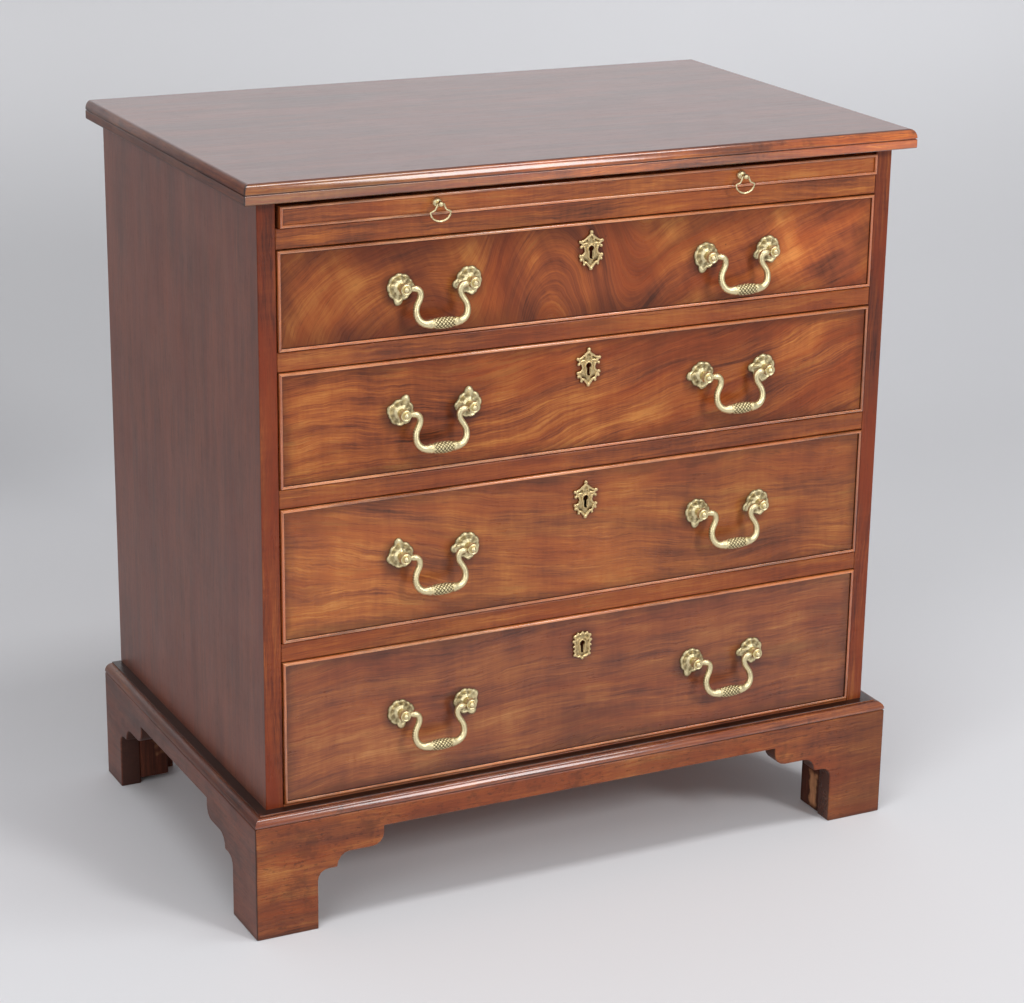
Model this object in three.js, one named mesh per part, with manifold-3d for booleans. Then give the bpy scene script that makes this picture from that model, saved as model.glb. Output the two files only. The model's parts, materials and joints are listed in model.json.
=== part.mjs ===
// Chest of drawers: a brushing slide over four long drawers, on bracket feet.
// Millimetres, +Z up, the front toward -Y.
// The origin is on the floor below the middle of the whole piece, handles included.
import * as THREE from 'three';
import { mergeVertices } from 'three/addons/utils/BufferGeometryUtils.js';
import Module from 'manifold-3d';

const wasm = await Module();
wasm.setup();

// Case
const caseWidth = 750;
const caseDepth = 473;
const sideThickness = 20;
const bottomThickness = 13.3;
const railThickness = 20.2;
const railDepth = 60;
const dustboardThickness = 8;
const slideRailThickness = 21.4;
const slideOpening = 29.9;
const backThickness = 10;
const backRebate = 10;
const backBoardCount = 5;
const boardGrooveWidth = 3;
const boardGrooveDepth = 1.5;

// Openings of the drawers from the top down, and how far the middle of each key's
// barrel lies below the top of its opening
const topOpening = 106.7;
const upperOpening = 125.6;
const lowerOpening = 148.6;
const bottomOpening = 163.1;
const topKeyDrop = 30;
const upperKeyDrop = 31;
const lowerKeyDrop = 34.4;
const bottomKeyDrop = 34.7;

// Height of the handle posts above the middle of an opening
const outerPostRise = 2.8;
const innerPostRise = 5.3;

// Top board
const topThickness = 20.8;
const topOverhang = 19.5;
const topBandHeight = 10;
const topArris = 0.8;
const topQuirkHeight = 1;
const topQuirkDepth = 1.3;
const topOvoloWidth = 6.5;
const ovoloSteps = 5;

// Base moulding, plinth and bracket feet
const plinthHeight = 130;
const apronHeight = 23;
const plinthProjection = 20.4;
const plinthThickness = 24;
const mouldingHeight = 11.5;
const mouldingLedge = 12.5;
const mouldingStep = 1.4;
const mouldingFillet = 1.4;
const mouldingSetback = 1.2;
const frontLegWidth = 71;
const rearLegWidth = 50;
const legHeight = 57;
const lowerCove = 12;
const bracketShelf = 10.5;
const upperCoveWidth = 14;
const upperCoveHeight = 16;
const bracketFlat = 27;
const bracketLobe = 14;
const curveSteps = 4;
const glueBlockWidth = 34;
const glueBlockFloorGap = 8;
const rearBracketThickness = 18;
const rearBracketFoot = 52;
const rearBracketTop = 96;
const rearBracketLeg = 40;

// Drawer making
const beadWidth = 3;
const beadProjection = 2.5;
const beadShoulder = 1.4;
const beadRoundShare = 0.25;
const frontThickness = 20;
const frontSideClearance = 1.2;
const frontEdgeClearance = 1.3;
const runningClearance = 0.3;
const liningThickness = 10;
const liningTopClearance = 7;
const liningRearClearance = 1;
const grooveHeight = 6;
const grooveDepth = 5;
const grooveLift = 10;
const panelFit = 0.3;
const panelThickness = 8;
const panelFeather = 30;
const drawerBackThickness = 9;
const drawerBackDrop = 11;
const dovetailLength = 14;
const dovetailGap = 0.15;
const dovetailRootShare = 0.52;
const dovetailTipShare = 0.74;

// Brushing slide
const slideThickness = 22.4;
const slideLift = 0.6;
const slideProud = 1.5;
const slideGapLeft = 3.7;
const slideGapRight = 0.7;
const slideLipDepth = 22;
const slideBoardThickness = 18;
const slideRearGap = 12;

// Bail handles: two posts on cast roses and a swan neck bail between them
const handleOffset = 180.5;
const postSpacing = 78;
const pivotReach = 13;
const bossRadius = 6.5;
const bossHalfLength = 3.2;
const bossChamfer = 1.3;
const bossNeckRadius = 4.6;
const pommelRadius = 3;
const pommelHeight = 2.6;
const pommelTipShare = 0.55;
const boreRadius = 2.1;
const boreDepth = 4.6;
const pinRadius = 1.6;
const pinDepth = 3.8;
const pinGap = 0.3;
const postSides = 8;
const boreSides = 8;
const roseRadius = 13.6;
const roseEdge = 1.3;
const roseDome = 3.2;
const roseDomeShare = 0.62;
const roseScallops = 7;
const scallopShare = 0.11;
const rosePoints = 24;

// Two leaves that reach past the scallops of a rose: turn and spread in degrees, and
// how far out and up as shares of the rose's radius.
const roseLeafShares = [
  { turn: 0, spread: 24, out: 0.34, up: 0.34 },
  { turn: 95, spread: 24, out: 0.235, up: 0.235 },
];
const shankRadius = 2.2;
const nutRadius = 5.5;
const nutThickness = 2.6;
const bailDrop = 36.7;
const bailThrow = 8;
const gripRadius = 5.5;
const bailSides = 8;

// Half a swan neck bail from the shoulder to the grip, as shares: across of half the
// spacing, down of the drop, forward of the throw, and girth of the grip's radius.
const bailShares = [
  [0.79, 0, 0, 0.43],
  [0.68, 0.01, 0.02, 0.45],
  [0.59, 0.1, 0.06, 0.45],
  [0.575, 0.26, 0.16, 0.43],
  [0.66, 0.44, 0.32, 0.44],
  [0.745, 0.62, 0.51, 0.48],
  [0.722, 0.81, 0.72, 0.55],
  [0.625, 0.935, 0.88, 0.61],
  [0.46, 0.995, 0.97, 0.65],
  [0.29, 1, 1, 0.74],
  [0.14, 1, 1, 0.94],
];

// Keyhole and its escutcheons
const keyRadius = 3;
const keySlotWidth = 3;
const keyHeight = 14;
const keyPocketDepth = 12;
const keySides = 10;
const plateThickness = 2.4;
const plateDomeShare = 0.72;
const plateEdgeShare = 0.45;
const plateRise = 1.3;
const plateHalfWidth = 8.5;
const plateHalfHeight = 15.5;
const platePoints = 40;
const smallPlateHalfWidth = 10.5;
const smallPlateHalfHeight = 16.5;

// Scrolls round a plate: turn and spread in degrees, out as a share of its half width
// and up as a share of its half height.
const plateScrollShares = [
  { turn: 45, spread: 20, out: 1.12, up: 0 },
  { turn: 135, spread: 20, out: 1.12, up: 0 },
  { turn: 213, spread: 19, out: 0.88, up: 0 },
  { turn: 327, spread: 19, out: 0.88, up: 0 },
  { turn: 90, spread: 15, out: 0, up: 0.42 },
  { turn: 270, spread: 30, out: 0, up: 0.355 },
];
const smallPlateScrollShares = [
  { turn: 49, spread: 22, out: 0.52, up: 0.06 },
  { turn: 131, spread: 22, out: 0.52, up: 0.06 },
  { turn: 229, spread: 22, out: 0.33, up: 0 },
  { turn: 311, spread: 22, out: 0.33, up: 0 },
];

// Slide pulls: a round knob with a stirrup drop hung from its eye
const pullOffset = 180;
const pullRise = 1.6;
const knobRadius = 5.5;
const knobFaceRadius = 3.8;
const knobEdge = 1.5;
const knobHeight = 4.5;
const eyeReach = 10.5;
const eyeRadius = 2.9;
const eyeNeckRadius = 1.8;
const eyeBoreRadius = 1.25;
const dropWireRadius = 0.9;
const stirrupWireRadius = 1.15;
const dropHalfWidth = 11.5;
const dropDepth = 18;

// Half a stirrup from the bar to the widest point, as shares: across of its half
// width, down of its depth.
const stirrupShares = [
  [0.36, 0],
  [0.38, 0.14],
  [0.56, 0.34],
  [1, 0.46],
];
const pullSides = 10;
const dropSides = 6;

// How far a cutting shape runs past the face it opens.
const cutOverrun = 1;

const fullTurn = 360;

// The drawers from the top down, with the number of dovetails at each corner and
// the turns of the four roses in degrees
const drawerRows = [
  {
    opening: topOpening,
    keyDrop: topKeyDrop,
    postRise: outerPostRise,
    dovetails: 3,
    roseTurns: [259, 193, 253, 201],
  },
  {
    opening: upperOpening,
    keyDrop: upperKeyDrop,
    postRise: innerPostRise,
    dovetails: 4,
    roseTurns: [68, 90, 181, 176],
  },
  {
    opening: lowerOpening,
    keyDrop: lowerKeyDrop,
    postRise: innerPostRise,
    dovetails: 4,
    roseTurns: [100, 187, 261, 198],
  },
  {
    opening: bottomOpening,
    keyDrop: bottomKeyDrop,
    postRise: outerPostRise,
    dovetails: 5,
    roseTurns: [276, 301, 250, 183],
  },
];

// Places worked out from the sizes above
const handleReach = pivotReach + bailThrow + gripRadius;
const frontY = (handleReach - caseDepth) / 2;
const backY = frontY + caseDepth;
const backFaceY = backY - backThickness;
const halfCase = caseWidth / 2;
const halfOpening = halfCase - sideThickness;
const apronUnderside = plinthHeight - apronHeight;
const floorOfDrawers = plinthHeight + bottomThickness;

const mahogany = { color: 0x7a3b20, roughness: 0.38, metalness: 0 };
const darkMahogany = { color: 0x5a2a1a, roughness: 0.34, metalness: 0 };
const oak = { color: 0xb08a58, roughness: 0.7, metalness: 0 };
const pine = { color: 0x9a7348, roughness: 0.75, metalness: 0 };
const brass = { color: 0xc2a35a, roughness: 0.36, metalness: 1 };

const chest = new THREE.Group();
chest.name = 'chest_of_drawers';

// A flat face triangulated from its outline, which may be hollow in plan.
function capTriangles(ring) {
  const normal = new THREE.Vector3();
  for (let i = 0; i < ring.length; i += 1) {
    const here = ring[i];
    const next = ring[(i + 1) % ring.length];
    normal.x += (here.y - next.y) * (here.z + next.z);
    normal.y += (here.z - next.z) * (here.x + next.x);
    normal.z += (here.x - next.x) * (here.y + next.y);
  }
  normal.normalize();
  const level = Math.abs(normal.z) > Math.abs(normal.x) ? 'x' : 'z';
  const along = new THREE.Vector3(level === 'x' ? 1 : 0, 0, level === 'x' ? 0 : 1);
  const across = new THREE.Vector3().crossVectors(normal, along).normalize();
  const upright = new THREE.Vector3().crossVectors(across, normal).normalize();
  const flat = ring.map((p) => new THREE.Vector2(p.dot(across), p.dot(upright)));
  return THREE.ShapeUtils.triangulateShape(flat, []);
}

function signedVolume(positions, indices) {
  const a = new THREE.Vector3();
  const b = new THREE.Vector3();
  const c = new THREE.Vector3();
  let volume = 0;
  for (let i = 0; i < indices.length; i += 3) {
    a.fromArray(positions, indices[i] * 3);
    b.fromArray(positions, indices[i + 1] * 3);
    c.fromArray(positions, indices[i + 2] * 3);
    volume += a.dot(b.cross(c));
  }
  return volume;
}

// A solid through a row of rings with equal numbers of points.
// An open row is closed with flat faces; a looped row runs back into its first ring.
function loft(rings, looped = false) {
  const count = rings[0].length;
  const positions = [];
  const indices = [];
  for (const ring of rings) {
    for (const p of ring) positions.push(p.x, p.y, p.z);
  }
  const bands = looped ? rings.length : rings.length - 1;
  for (let band = 0; band < bands; band += 1) {
    const lower = band * count;
    const upper = ((band + 1) % rings.length) * count;
    for (let i = 0; i < count; i += 1) {
      const j = (i + 1) % count;
      indices.push(lower + i, lower + j, upper + j);
      indices.push(lower + i, upper + j, upper + i);
    }
  }
  if (!looped) {
    const last = (rings.length - 1) * count;
    for (const [i, j, k] of orientedCap(rings[0], true)) indices.push(i, j, k);
    for (const [i, j, k] of orientedCap(rings[rings.length - 1], false)) {
      indices.push(last + i, last + j, last + k);
    }
  }
  if (signedVolume(positions, indices) < 0) indices.reverse();
  const geometry = new THREE.BufferGeometry();
  geometry.setAttribute('position', new THREE.Float32BufferAttribute(positions, 3));
  geometry.setIndex(indices);
  return geometry;
}

// The cap of a ring, wound with the ring or against it.
function orientedCap(ring, against) {
  const triangles = capTriangles(ring);
  const ringArea = loopVector(ring);
  const capArea = new THREE.Vector3();
  for (const triangle of triangles) {
    capArea.add(loopVector(triangle.map((i) => ring[i])));
  }
  const withRing = capArea.dot(ringArea) > 0;
  return triangles.map(([i, j, k]) => (withRing === against ? [k, j, i] : [i, j, k]));
}

function loopVector(ring) {
  const total = new THREE.Vector3();
  for (let i = 0; i < ring.length; i += 1) {
    total.add(new THREE.Vector3().crossVectors(ring[i], ring[(i + 1) % ring.length]));
  }
  return total;
}

function toSolid(geometry) {
  const bare = geometry.clone();
  bare.deleteAttribute('normal');
  bare.deleteAttribute('uv');
  const welded = mergeVertices(bare);
  return new wasm.Manifold(
    new wasm.Mesh({
      numProp: 3,
      vertProperties: new Float32Array(welded.attributes.position.array),
      triVerts: new Uint32Array(welded.index.array),
    }),
  );
}

function toGeometry(solid) {
  const mesh = solid.getMesh();
  const geometry = new THREE.BufferGeometry();
  geometry.setAttribute('position', new THREE.Float32BufferAttribute(mesh.vertProperties, 3));
  geometry.setIndex(Array.from(mesh.triVerts));
  return geometry;
}

function join(...geometries) {
  return toGeometry(geometries.map(toSolid).reduce((whole, next) => whole.add(next)));
}

function cut(geometry, ...cutters) {
  return toGeometry(cutters.map(toSolid).reduce((left, tool) => left.subtract(tool), toSolid(geometry)));
}

function addPiece(name, geometry, look) {
  const plain = geometry.clone();
  plain.deleteAttribute('normal');
  plain.deleteAttribute('uv');
  const welded = mergeVertices(plain);
  welded.computeVertexNormals();
  const mesh = new THREE.Mesh(welded, new THREE.MeshStandardMaterial(look));
  mesh.name = name;
  chest.add(mesh);
}

// A box between two corners.
function block(x0, x1, y0, y1, z0, z1) {
  const box = new THREE.BoxGeometry(x1 - x0, y1 - y0, z1 - z0);
  box.translate((x0 + x1) / 2, (y0 + y1) / 2, (z0 + z1) / 2);
  return box;
}

// An outline in the plan, raised from z0 to z1.
function raisePlan(outline, z0, z1) {
  return loft([z0, z1].map((z) => outline.map(([x, y]) => new THREE.Vector3(x, y, z))));
}

// An outline seen from the side as pairs of y and z, run from x0 to x1.
function runAcross(outline, x0, x1) {
  return loft([x0, x1].map((x) => outline.map(([y, z]) => new THREE.Vector3(x, y, z))));
}

// An outline seen from the front as pairs of x and z, run from y0 to y1.
function runBack(outline, y0, y1) {
  return loft([y0, y1].map((y) => outline.map(([x, z]) => new THREE.Vector3(x, y, z))));
}

// Points of a quarter ellipse from one angle to another, in quarter turns.
function quarter(centreA, centreB, reachA, reachB, from, to, steps) {
  const points = [];
  for (let i = 0; i <= steps; i += 1) {
    const angle = ((from + ((to - from) * i) / steps) * Math.PI) / 2;
    points.push([centreA + reachA * Math.cos(angle), centreB + reachB * Math.sin(angle)]);
  }
  return points;
}

// Rounded stock along the Y axis: pairs of radius and y, turned about x and z.
function turnAboutY(profile, x, z, sides) {
  const lathe = new THREE.LatheGeometry(
    profile.map(([radius, y]) => new THREE.Vector2(radius, y)),
    sides,
  );
  lathe.translate(x, 0, z);
  return outward(lathe);
}

// The same surface with its faces outward.
function outward(geometry) {
  const plain = geometry.clone();
  plain.deleteAttribute('normal');
  plain.deleteAttribute('uv');
  const welded = mergeVertices(plain);
  const indices = Array.from(welded.index.array);
  const kept = [];
  for (let i = 0; i < indices.length; i += 3) {
    const [a, b, c] = indices.slice(i, i + 3);
    if (a !== b && b !== c && c !== a) kept.push(a, b, c);
  }
  if (signedVolume(welded.attributes.position.array, kept) < 0) kept.reverse();
  welded.setIndex(kept);
  return welded;
}

// Top board with its moulded edge on the front and both ends, square at the back.
function makeTopBoard(underside) {
  const ovoloBase = topBandHeight + topQuirkHeight;
  const ovoloHeight = topThickness - ovoloBase;
  const quirkFace = topOverhang - topQuirkDepth;
  const ovoloCentre = topOverhang - topOvoloWidth;
  const section = [
    [topOverhang - topArris, 0],
    [topOverhang, topArris],
    [topOverhang, topBandHeight - topArris],
    [topOverhang - topArris, topBandHeight],
    [quirkFace, topBandHeight],
    [quirkFace, ovoloBase],
    ...quarter(ovoloCentre, ovoloBase, topOvoloWidth, ovoloHeight, 0, 1, ovoloSteps),
  ];
  return loft(
    section.map(([out, up]) => [
      new THREE.Vector3(-halfCase - out, frontY - out, underside + up),
      new THREE.Vector3(halfCase + out, frontY - out, underside + up),
      new THREE.Vector3(halfCase + out, backY, underside + up),
      new THREE.Vector3(-halfCase - out, backY, underside + up),
    ]),
  );
}

// Base moulding round the front and both ends, mitred at the front corners.
function makeBaseMoulding() {
  const ovoloTop = mouldingHeight - mouldingStep;
  const ovoloWidth = plinthProjection - mouldingLedge;
  const section = [
    [0, 0],
    [plinthProjection - mouldingSetback, 0],
    [plinthProjection - mouldingSetback, mouldingFillet],
    ...quarter(mouldingLedge, mouldingFillet, ovoloWidth, ovoloTop - mouldingFillet, 0, 1, ovoloSteps),
    [mouldingLedge - mouldingStep, ovoloTop],
    [mouldingLedge - mouldingStep, mouldingHeight],
    [0, mouldingHeight],
  ];
  const at = (place) => section.map(([out, up]) => place(out, plinthHeight + up));
  return loft([
    at((out, z) => new THREE.Vector3(-halfCase - out, backY, z)),
    at((out, z) => new THREE.Vector3(-halfCase - out, frontY - out, z)),
    at((out, z) => new THREE.Vector3(halfCase + out, frontY - out, z)),
    at((out, z) => new THREE.Vector3(halfCase + out, backY, z)),
  ]);
}

// Shaped edge of a bracket foot, from the floor up to the apron:
// pairs of distance from the outer corner and height.
function bracketEdge(legWidth) {
  const shelfZ = legHeight + lowerCove;
  const flatZ = shelfZ + upperCoveHeight;
  const coveStart = legWidth + lowerCove + bracketShelf;
  const flatStart = coveStart + upperCoveWidth;
  const lobeStart = flatStart + bracketFlat;
  const lobeEnd = lobeStart + bracketLobe;
  return [
    [legWidth, 0],
    ...quarter(legWidth + lowerCove, legHeight, lowerCove, lowerCove, 2, 1, curveSteps),
    ...quarter(flatStart, shelfZ, upperCoveWidth, upperCoveHeight, 2, 1, curveSteps),
    ...quarter(lobeStart, flatZ + bracketLobe, bracketLobe, bracketLobe, -1, 0, curveSteps),
    [lobeEnd, apronUnderside],
  ];
}

const plinthHalf = halfCase + plinthProjection;
const plinthFrontY = frontY - plinthProjection;

// Front of the plinth with both feet, its ends mitred inward.
function makePlinthFront() {
  const edge = bracketEdge(frontLegWidth);
  const leftHalf = edge.map(([distance, z]) => [distance - plinthHalf, z]);
  const rightHalf = edge.map(([distance, z]) => [plinthHalf - distance, z]).reverse();
  const outline = [
    [-plinthHalf, 0],
    ...leftHalf,
    ...rightHalf,
    [plinthHalf, 0],
    [plinthHalf, plinthHeight],
    [-plinthHalf, plinthHeight],
  ];
  const innerHalf = plinthHalf - plinthThickness;
  const mitred = (x) => Math.sign(x) * Math.min(Math.abs(x), innerHalf);
  return loft([
    outline.map(([x, z]) => new THREE.Vector3(x, plinthFrontY, z)),
    outline.map(([x, z]) => new THREE.Vector3(mitred(x), plinthFrontY + plinthThickness, z)),
  ]);
}

// One end of the plinth with a front and a rear foot and the glue block in its front corner.
function makePlinthEnd(side) {
  const front = bracketEdge(frontLegWidth).map(([distance, z]) => [plinthFrontY + distance, z]);
  const rear = bracketEdge(rearLegWidth).map(([distance, z]) => [backY - distance, z]).reverse();
  const outline = [
    [plinthFrontY, 0],
    ...front,
    ...rear,
    [backY, 0],
    [backY, plinthHeight],
    [plinthFrontY, plinthHeight],
  ];
  const innerY = plinthFrontY + plinthThickness;
  const innerX = side * (plinthHalf - plinthThickness);
  const board = loft([
    outline.map(([y, z]) => new THREE.Vector3(side * plinthHalf, y, z)),
    outline.map(([y, z]) => new THREE.Vector3(innerX, Math.max(y, innerY), z)),
  ]);
  const blockInner = innerX - side * glueBlockWidth;
  const blockOuter = innerX + side * cutOverrun;
  const glueBlock = block(
    Math.min(blockInner, blockOuter),
    Math.max(blockInner, blockOuter),
    innerY,
    innerY + glueBlockWidth,
    glueBlockFloorGap,
    plinthHeight,
  );
  return join(board, cut(glueBlock, mitreShadow(side)));
}

// The wedge kept by the front board, so that a glue block never enters it.
function mitreShadow(side) {
  const innerY = plinthFrontY + plinthThickness;
  const outline = [
    [side * (plinthHalf - plinthThickness), innerY],
    [side * plinthHalf, plinthFrontY],
    [side * (plinthHalf - plinthThickness), plinthFrontY],
  ];
  return raisePlan(outline, -cutOverrun, plinthHeight + cutOverrun);
}

// Plain bracket across the back of a foot with its corner block.
function makeRearFoot(side) {
  const outer = side * (plinthHalf - plinthThickness);
  const outline = [
    [outer, 0],
    [outer - side * rearBracketFoot, 0],
    [outer - side * rearBracketFoot, rearBracketLeg],
    [outer - side * rearBracketTop, apronUnderside],
    [outer - side * rearBracketTop, plinthHeight],
    [outer, plinthHeight],
  ];
  const bracket = runBack(outline, backY - rearBracketThickness, backY);
  const blockInner = outer - side * glueBlockWidth;
  const cornerBlock = block(
    Math.min(outer, blockInner),
    Math.max(outer, blockInner),
    backY - rearBracketThickness - glueBlockWidth,
    backY - rearBracketThickness + cutOverrun,
    glueBlockFloorGap,
    plinthHeight,
  );
  return join(bracket, cornerBlock);
}

function makeSide(side, top) {
  const outline = [
    [side * halfCase, frontY],
    [side * halfCase, backY],
    [side * (halfCase - sideThickness + backRebate), backY],
    [side * (halfCase - sideThickness + backRebate), backFaceY],
    [side * halfOpening, backFaceY],
    [side * halfOpening, frontY],
  ];
  return raisePlan(outline, plinthHeight, top);
}

// Back of upright boards, with a small groove where two boards meet.
function makeBack(top) {
  const halfBack = halfCase - sideThickness + backRebate;
  const outline = [
    [-halfBack, backFaceY],
    [halfBack, backFaceY],
    [halfBack, backY],
  ];
  const boardWidth = (2 * halfBack) / backBoardCount;
  for (let i = backBoardCount - 1; i > 0; i -= 1) {
    const seam = -halfBack + i * boardWidth;
    outline.push([seam + boardGrooveWidth / 2, backY]);
    outline.push([seam, backY - boardGrooveDepth]);
    outline.push([seam - boardGrooveWidth / 2, backY]);
  }
  outline.push([-halfBack, backY]);
  return raisePlan(outline, plinthHeight, top);
}

// A front rail with the dustboard let into it, flush on top.
function makeDivider(underside, thickness) {
  const top = underside + thickness;
  const outline = [
    [frontY, underside],
    [frontY + railDepth, underside],
    [frontY + railDepth, top - dustboardThickness],
    [backFaceY, top - dustboardThickness],
    [backFaceY, top],
    [frontY, top],
  ];
  return runAcross(outline, -halfOpening, halfOpening);
}

// A front with a bead standing proud all round its edge.
function beadedFront(x0, x1, z0, z1, faceY) {
  const flank = (beadProjection - beadShoulder) * beadRoundShare - beadProjection;
  const section = [
    [0, frontThickness],
    [0, -beadShoulder],
    [beadWidth * beadRoundShare, flank],
    [beadWidth / 2, -beadProjection],
    [beadWidth * (1 - beadRoundShare), flank],
    [beadWidth, -beadShoulder],
    [beadWidth, 0],
  ];
  return loft(
    section.map(([inset, y]) => [
      new THREE.Vector3(x0 + inset, faceY + y, z0 + inset),
      new THREE.Vector3(x1 - inset, faceY + y, z0 + inset),
      new THREE.Vector3(x1 - inset, faceY + y, z1 - inset),
      new THREE.Vector3(x0 + inset, faceY + y, z1 - inset),
    ]),
  );
}

// Outline of a keyhole seen from the front: a round for the barrel over a slot.
function keyholeOutline(x, z) {
  const slotHalf = keySlotWidth / 2;
  const slotTurn = Math.asin(slotHalf / keyRadius);
  const start = -Math.PI / 2 + slotTurn;
  const sweep = 2 * (Math.PI - slotTurn);
  const points = [];
  for (let i = 0; i <= keySides; i += 1) {
    const angle = start + (sweep * i) / keySides;
    points.push([x + keyRadius * Math.cos(angle), z + keyRadius * Math.sin(angle)]);
  }
  const foot = z + keyRadius - keyHeight;
  points.push([x - slotHalf, foot]);
  points.push([x + slotHalf, foot]);
  return points;
}

// The tails at the front end of a drawer side, as outlines of y and z.
function tailOutlines(z0, z1, count, rootY, gap) {
  const pitch = (z1 - z0) / count;
  const outlines = [];
  for (let i = 0; i < count; i += 1) {
    const middle = z0 + pitch * (i + 1 / 2);
    const root = (pitch * dovetailRootShare) / 2 + gap;
    const tip = (pitch * dovetailTipShare) / 2 + gap;
    const tipY = rootY - dovetailLength - gap;
    outlines.push([
      [rootY + cutOverrun, middle - root],
      [rootY, middle - root],
      [tipY, middle - tip],
      [tipY, middle + tip],
      [rootY, middle + root],
      [rootY + cutOverrun, middle + root],
    ]);
  }
  return outlines;
}

function span(a, b) {
  return [Math.min(a, b), Math.max(a, b)];
}

function makeDrawer(name, floor, row) {
  const half = halfOpening - frontSideClearance;
  const frontBottom = floor + frontEdgeClearance;
  const frontTop = floor + row.opening - frontEdgeClearance;
  const liningY = frontY + frontThickness;
  const rearY = backFaceY - liningRearClearance;
  const liningBottom = floor + runningClearance;
  const liningTop = floor + row.opening - liningTopClearance;
  const grooveZ = liningBottom + grooveLift;
  const keyZ = floor + row.opening - row.keyDrop;
  const postZ = floor + row.opening / 2 + row.postRise;
  const tailBottom = Math.max(liningBottom, frontBottom);

  const tails = tailOutlines(tailBottom, liningTop, row.dovetails, liningY, 0);
  const sockets = tailOutlines(tailBottom, liningTop, row.dovetails, liningY, dovetailGap);
  const lining = [];
  const socketCuts = [];
  for (const side of [-1, 1]) {
    const [x0, x1] = span(side * half, side * (half - liningThickness));
    lining.push(block(x0, x1, liningY, rearY, liningBottom, liningTop));
    for (const tail of tails) lining.push(runAcross(tail, x0, x1));
    const [cut0, cut1] = span(
      side * (half + cutOverrun),
      side * (half - liningThickness - dovetailGap),
    );
    for (const socket of sockets) socketCuts.push(runAcross(socket, cut0, cut1));
  }
  const innerHalf = half - liningThickness;
  lining.push(
    block(
      -innerHalf - cutOverrun,
      innerHalf + cutOverrun,
      rearY - drawerBackThickness,
      rearY,
      grooveZ + grooveHeight,
      liningTop - drawerBackDrop,
    ),
  );
  const groovedBox = cut(
    join(...lining),
    block(
      -innerHalf - grooveDepth,
      innerHalf + grooveDepth,
      liningY,
      rearY + cutOverrun,
      grooveZ,
      grooveZ + grooveHeight,
    ),
  );

  const shankHoles = [];
  row.roseTurns.forEach((turn, i) => {
    const [x] = postPlace(i);
    const hole = [
      [0, frontY - cutOverrun],
      [shankRadius + panelFit, frontY - cutOverrun],
      [shankRadius + panelFit, liningY + cutOverrun],
      [0, liningY + cutOverrun],
    ];
    shankHoles.push(turnAboutY(hole, x, postZ, postSides));
    addPiece(`${name}_rose_${i + 1}`, makeRose(x, postZ, turn, i % 2 === 0 ? 1 : -1), brass);
  });
  const keyPocket = runBack(keyholeOutline(0, keyZ), frontY - cutOverrun, frontY + keyPocketDepth);
  const front = cut(
    beadedFront(-half, half, frontBottom, frontTop, frontY),
    ...socketCuts,
    ...shankHoles,
    keyPocket,
  );

  addPiece(`${name}_front`, front, mahogany);
  addPiece(`${name}_box`, groovedBox, oak);
  addPiece(`${name}_bottom`, makeDrawerPanel(innerHalf, liningY, rearY, grooveZ), oak);
  addPiece(`${name}_escutcheon`, makeEscutcheon(keyZ, row === drawerRows.at(-1)), brass);
  for (const side of [-1, 1]) {
    const label = side < 0 ? 'left' : 'right';
    addPiece(`${name}_bail_${label}`, makeBail(side * handleOffset, postZ), brass);
  }
}

// Drawer bottom, feathered below toward both grooves.
function makeDrawerPanel(innerHalf, y0, y1, grooveZ) {
  const reach = innerHalf + grooveDepth - panelFit;
  const top = grooveZ + grooveHeight - panelFit;
  const edge = grooveZ + panelFit;
  const outline = [
    [-reach, top],
    [-reach, edge],
    [-innerHalf + panelFit, edge],
    [-innerHalf + panelFeather, top - panelThickness],
    [innerHalf - panelFeather, top - panelThickness],
    [innerHalf - panelFit, edge],
    [reach, edge],
    [reach, top],
  ];
  return runBack(outline, y0, y1);
}

// The middle of a post: 0 and 1 belong to the left handle, 2 and 3 to the right one.
function postPlace(i) {
  const handle = i < 2 ? -handleOffset : handleOffset;
  return [handle + ((i % 2 === 0 ? -1 : 1) * postSpacing) / 2];
}

// Outline round a centre: an ellipse with scallops and blunt leaves.
function leafyOutline(radiusX, radiusZ, scallops, depthShare, leaves, count) {
  const points = [];
  for (let i = 0; i < count; i += 1) {
    const turn = (fullTurn * i) / count;
    const angle = THREE.MathUtils.degToRad(turn);
    const scallop = 1 + depthShare * Math.abs(Math.cos((scallops * angle) / 2));
    let out = 0;
    let up = 0;
    for (const leaf of leaves) {
      const apart = Math.abs(turn - leaf.turn);
      const away = Math.min(apart, fullTurn - apart) / leaf.spread;
      const height = Math.sin((Math.PI * Math.max(0, 1 - away)) / 2);
      out += leaf.out * height;
      up += leaf.up * height;
    }
    points.push([
      radiusX * (scallop + out) * Math.cos(angle),
      radiusZ * (scallop + up) * Math.sin(angle),
    ]);
  }
  return points;
}

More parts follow.
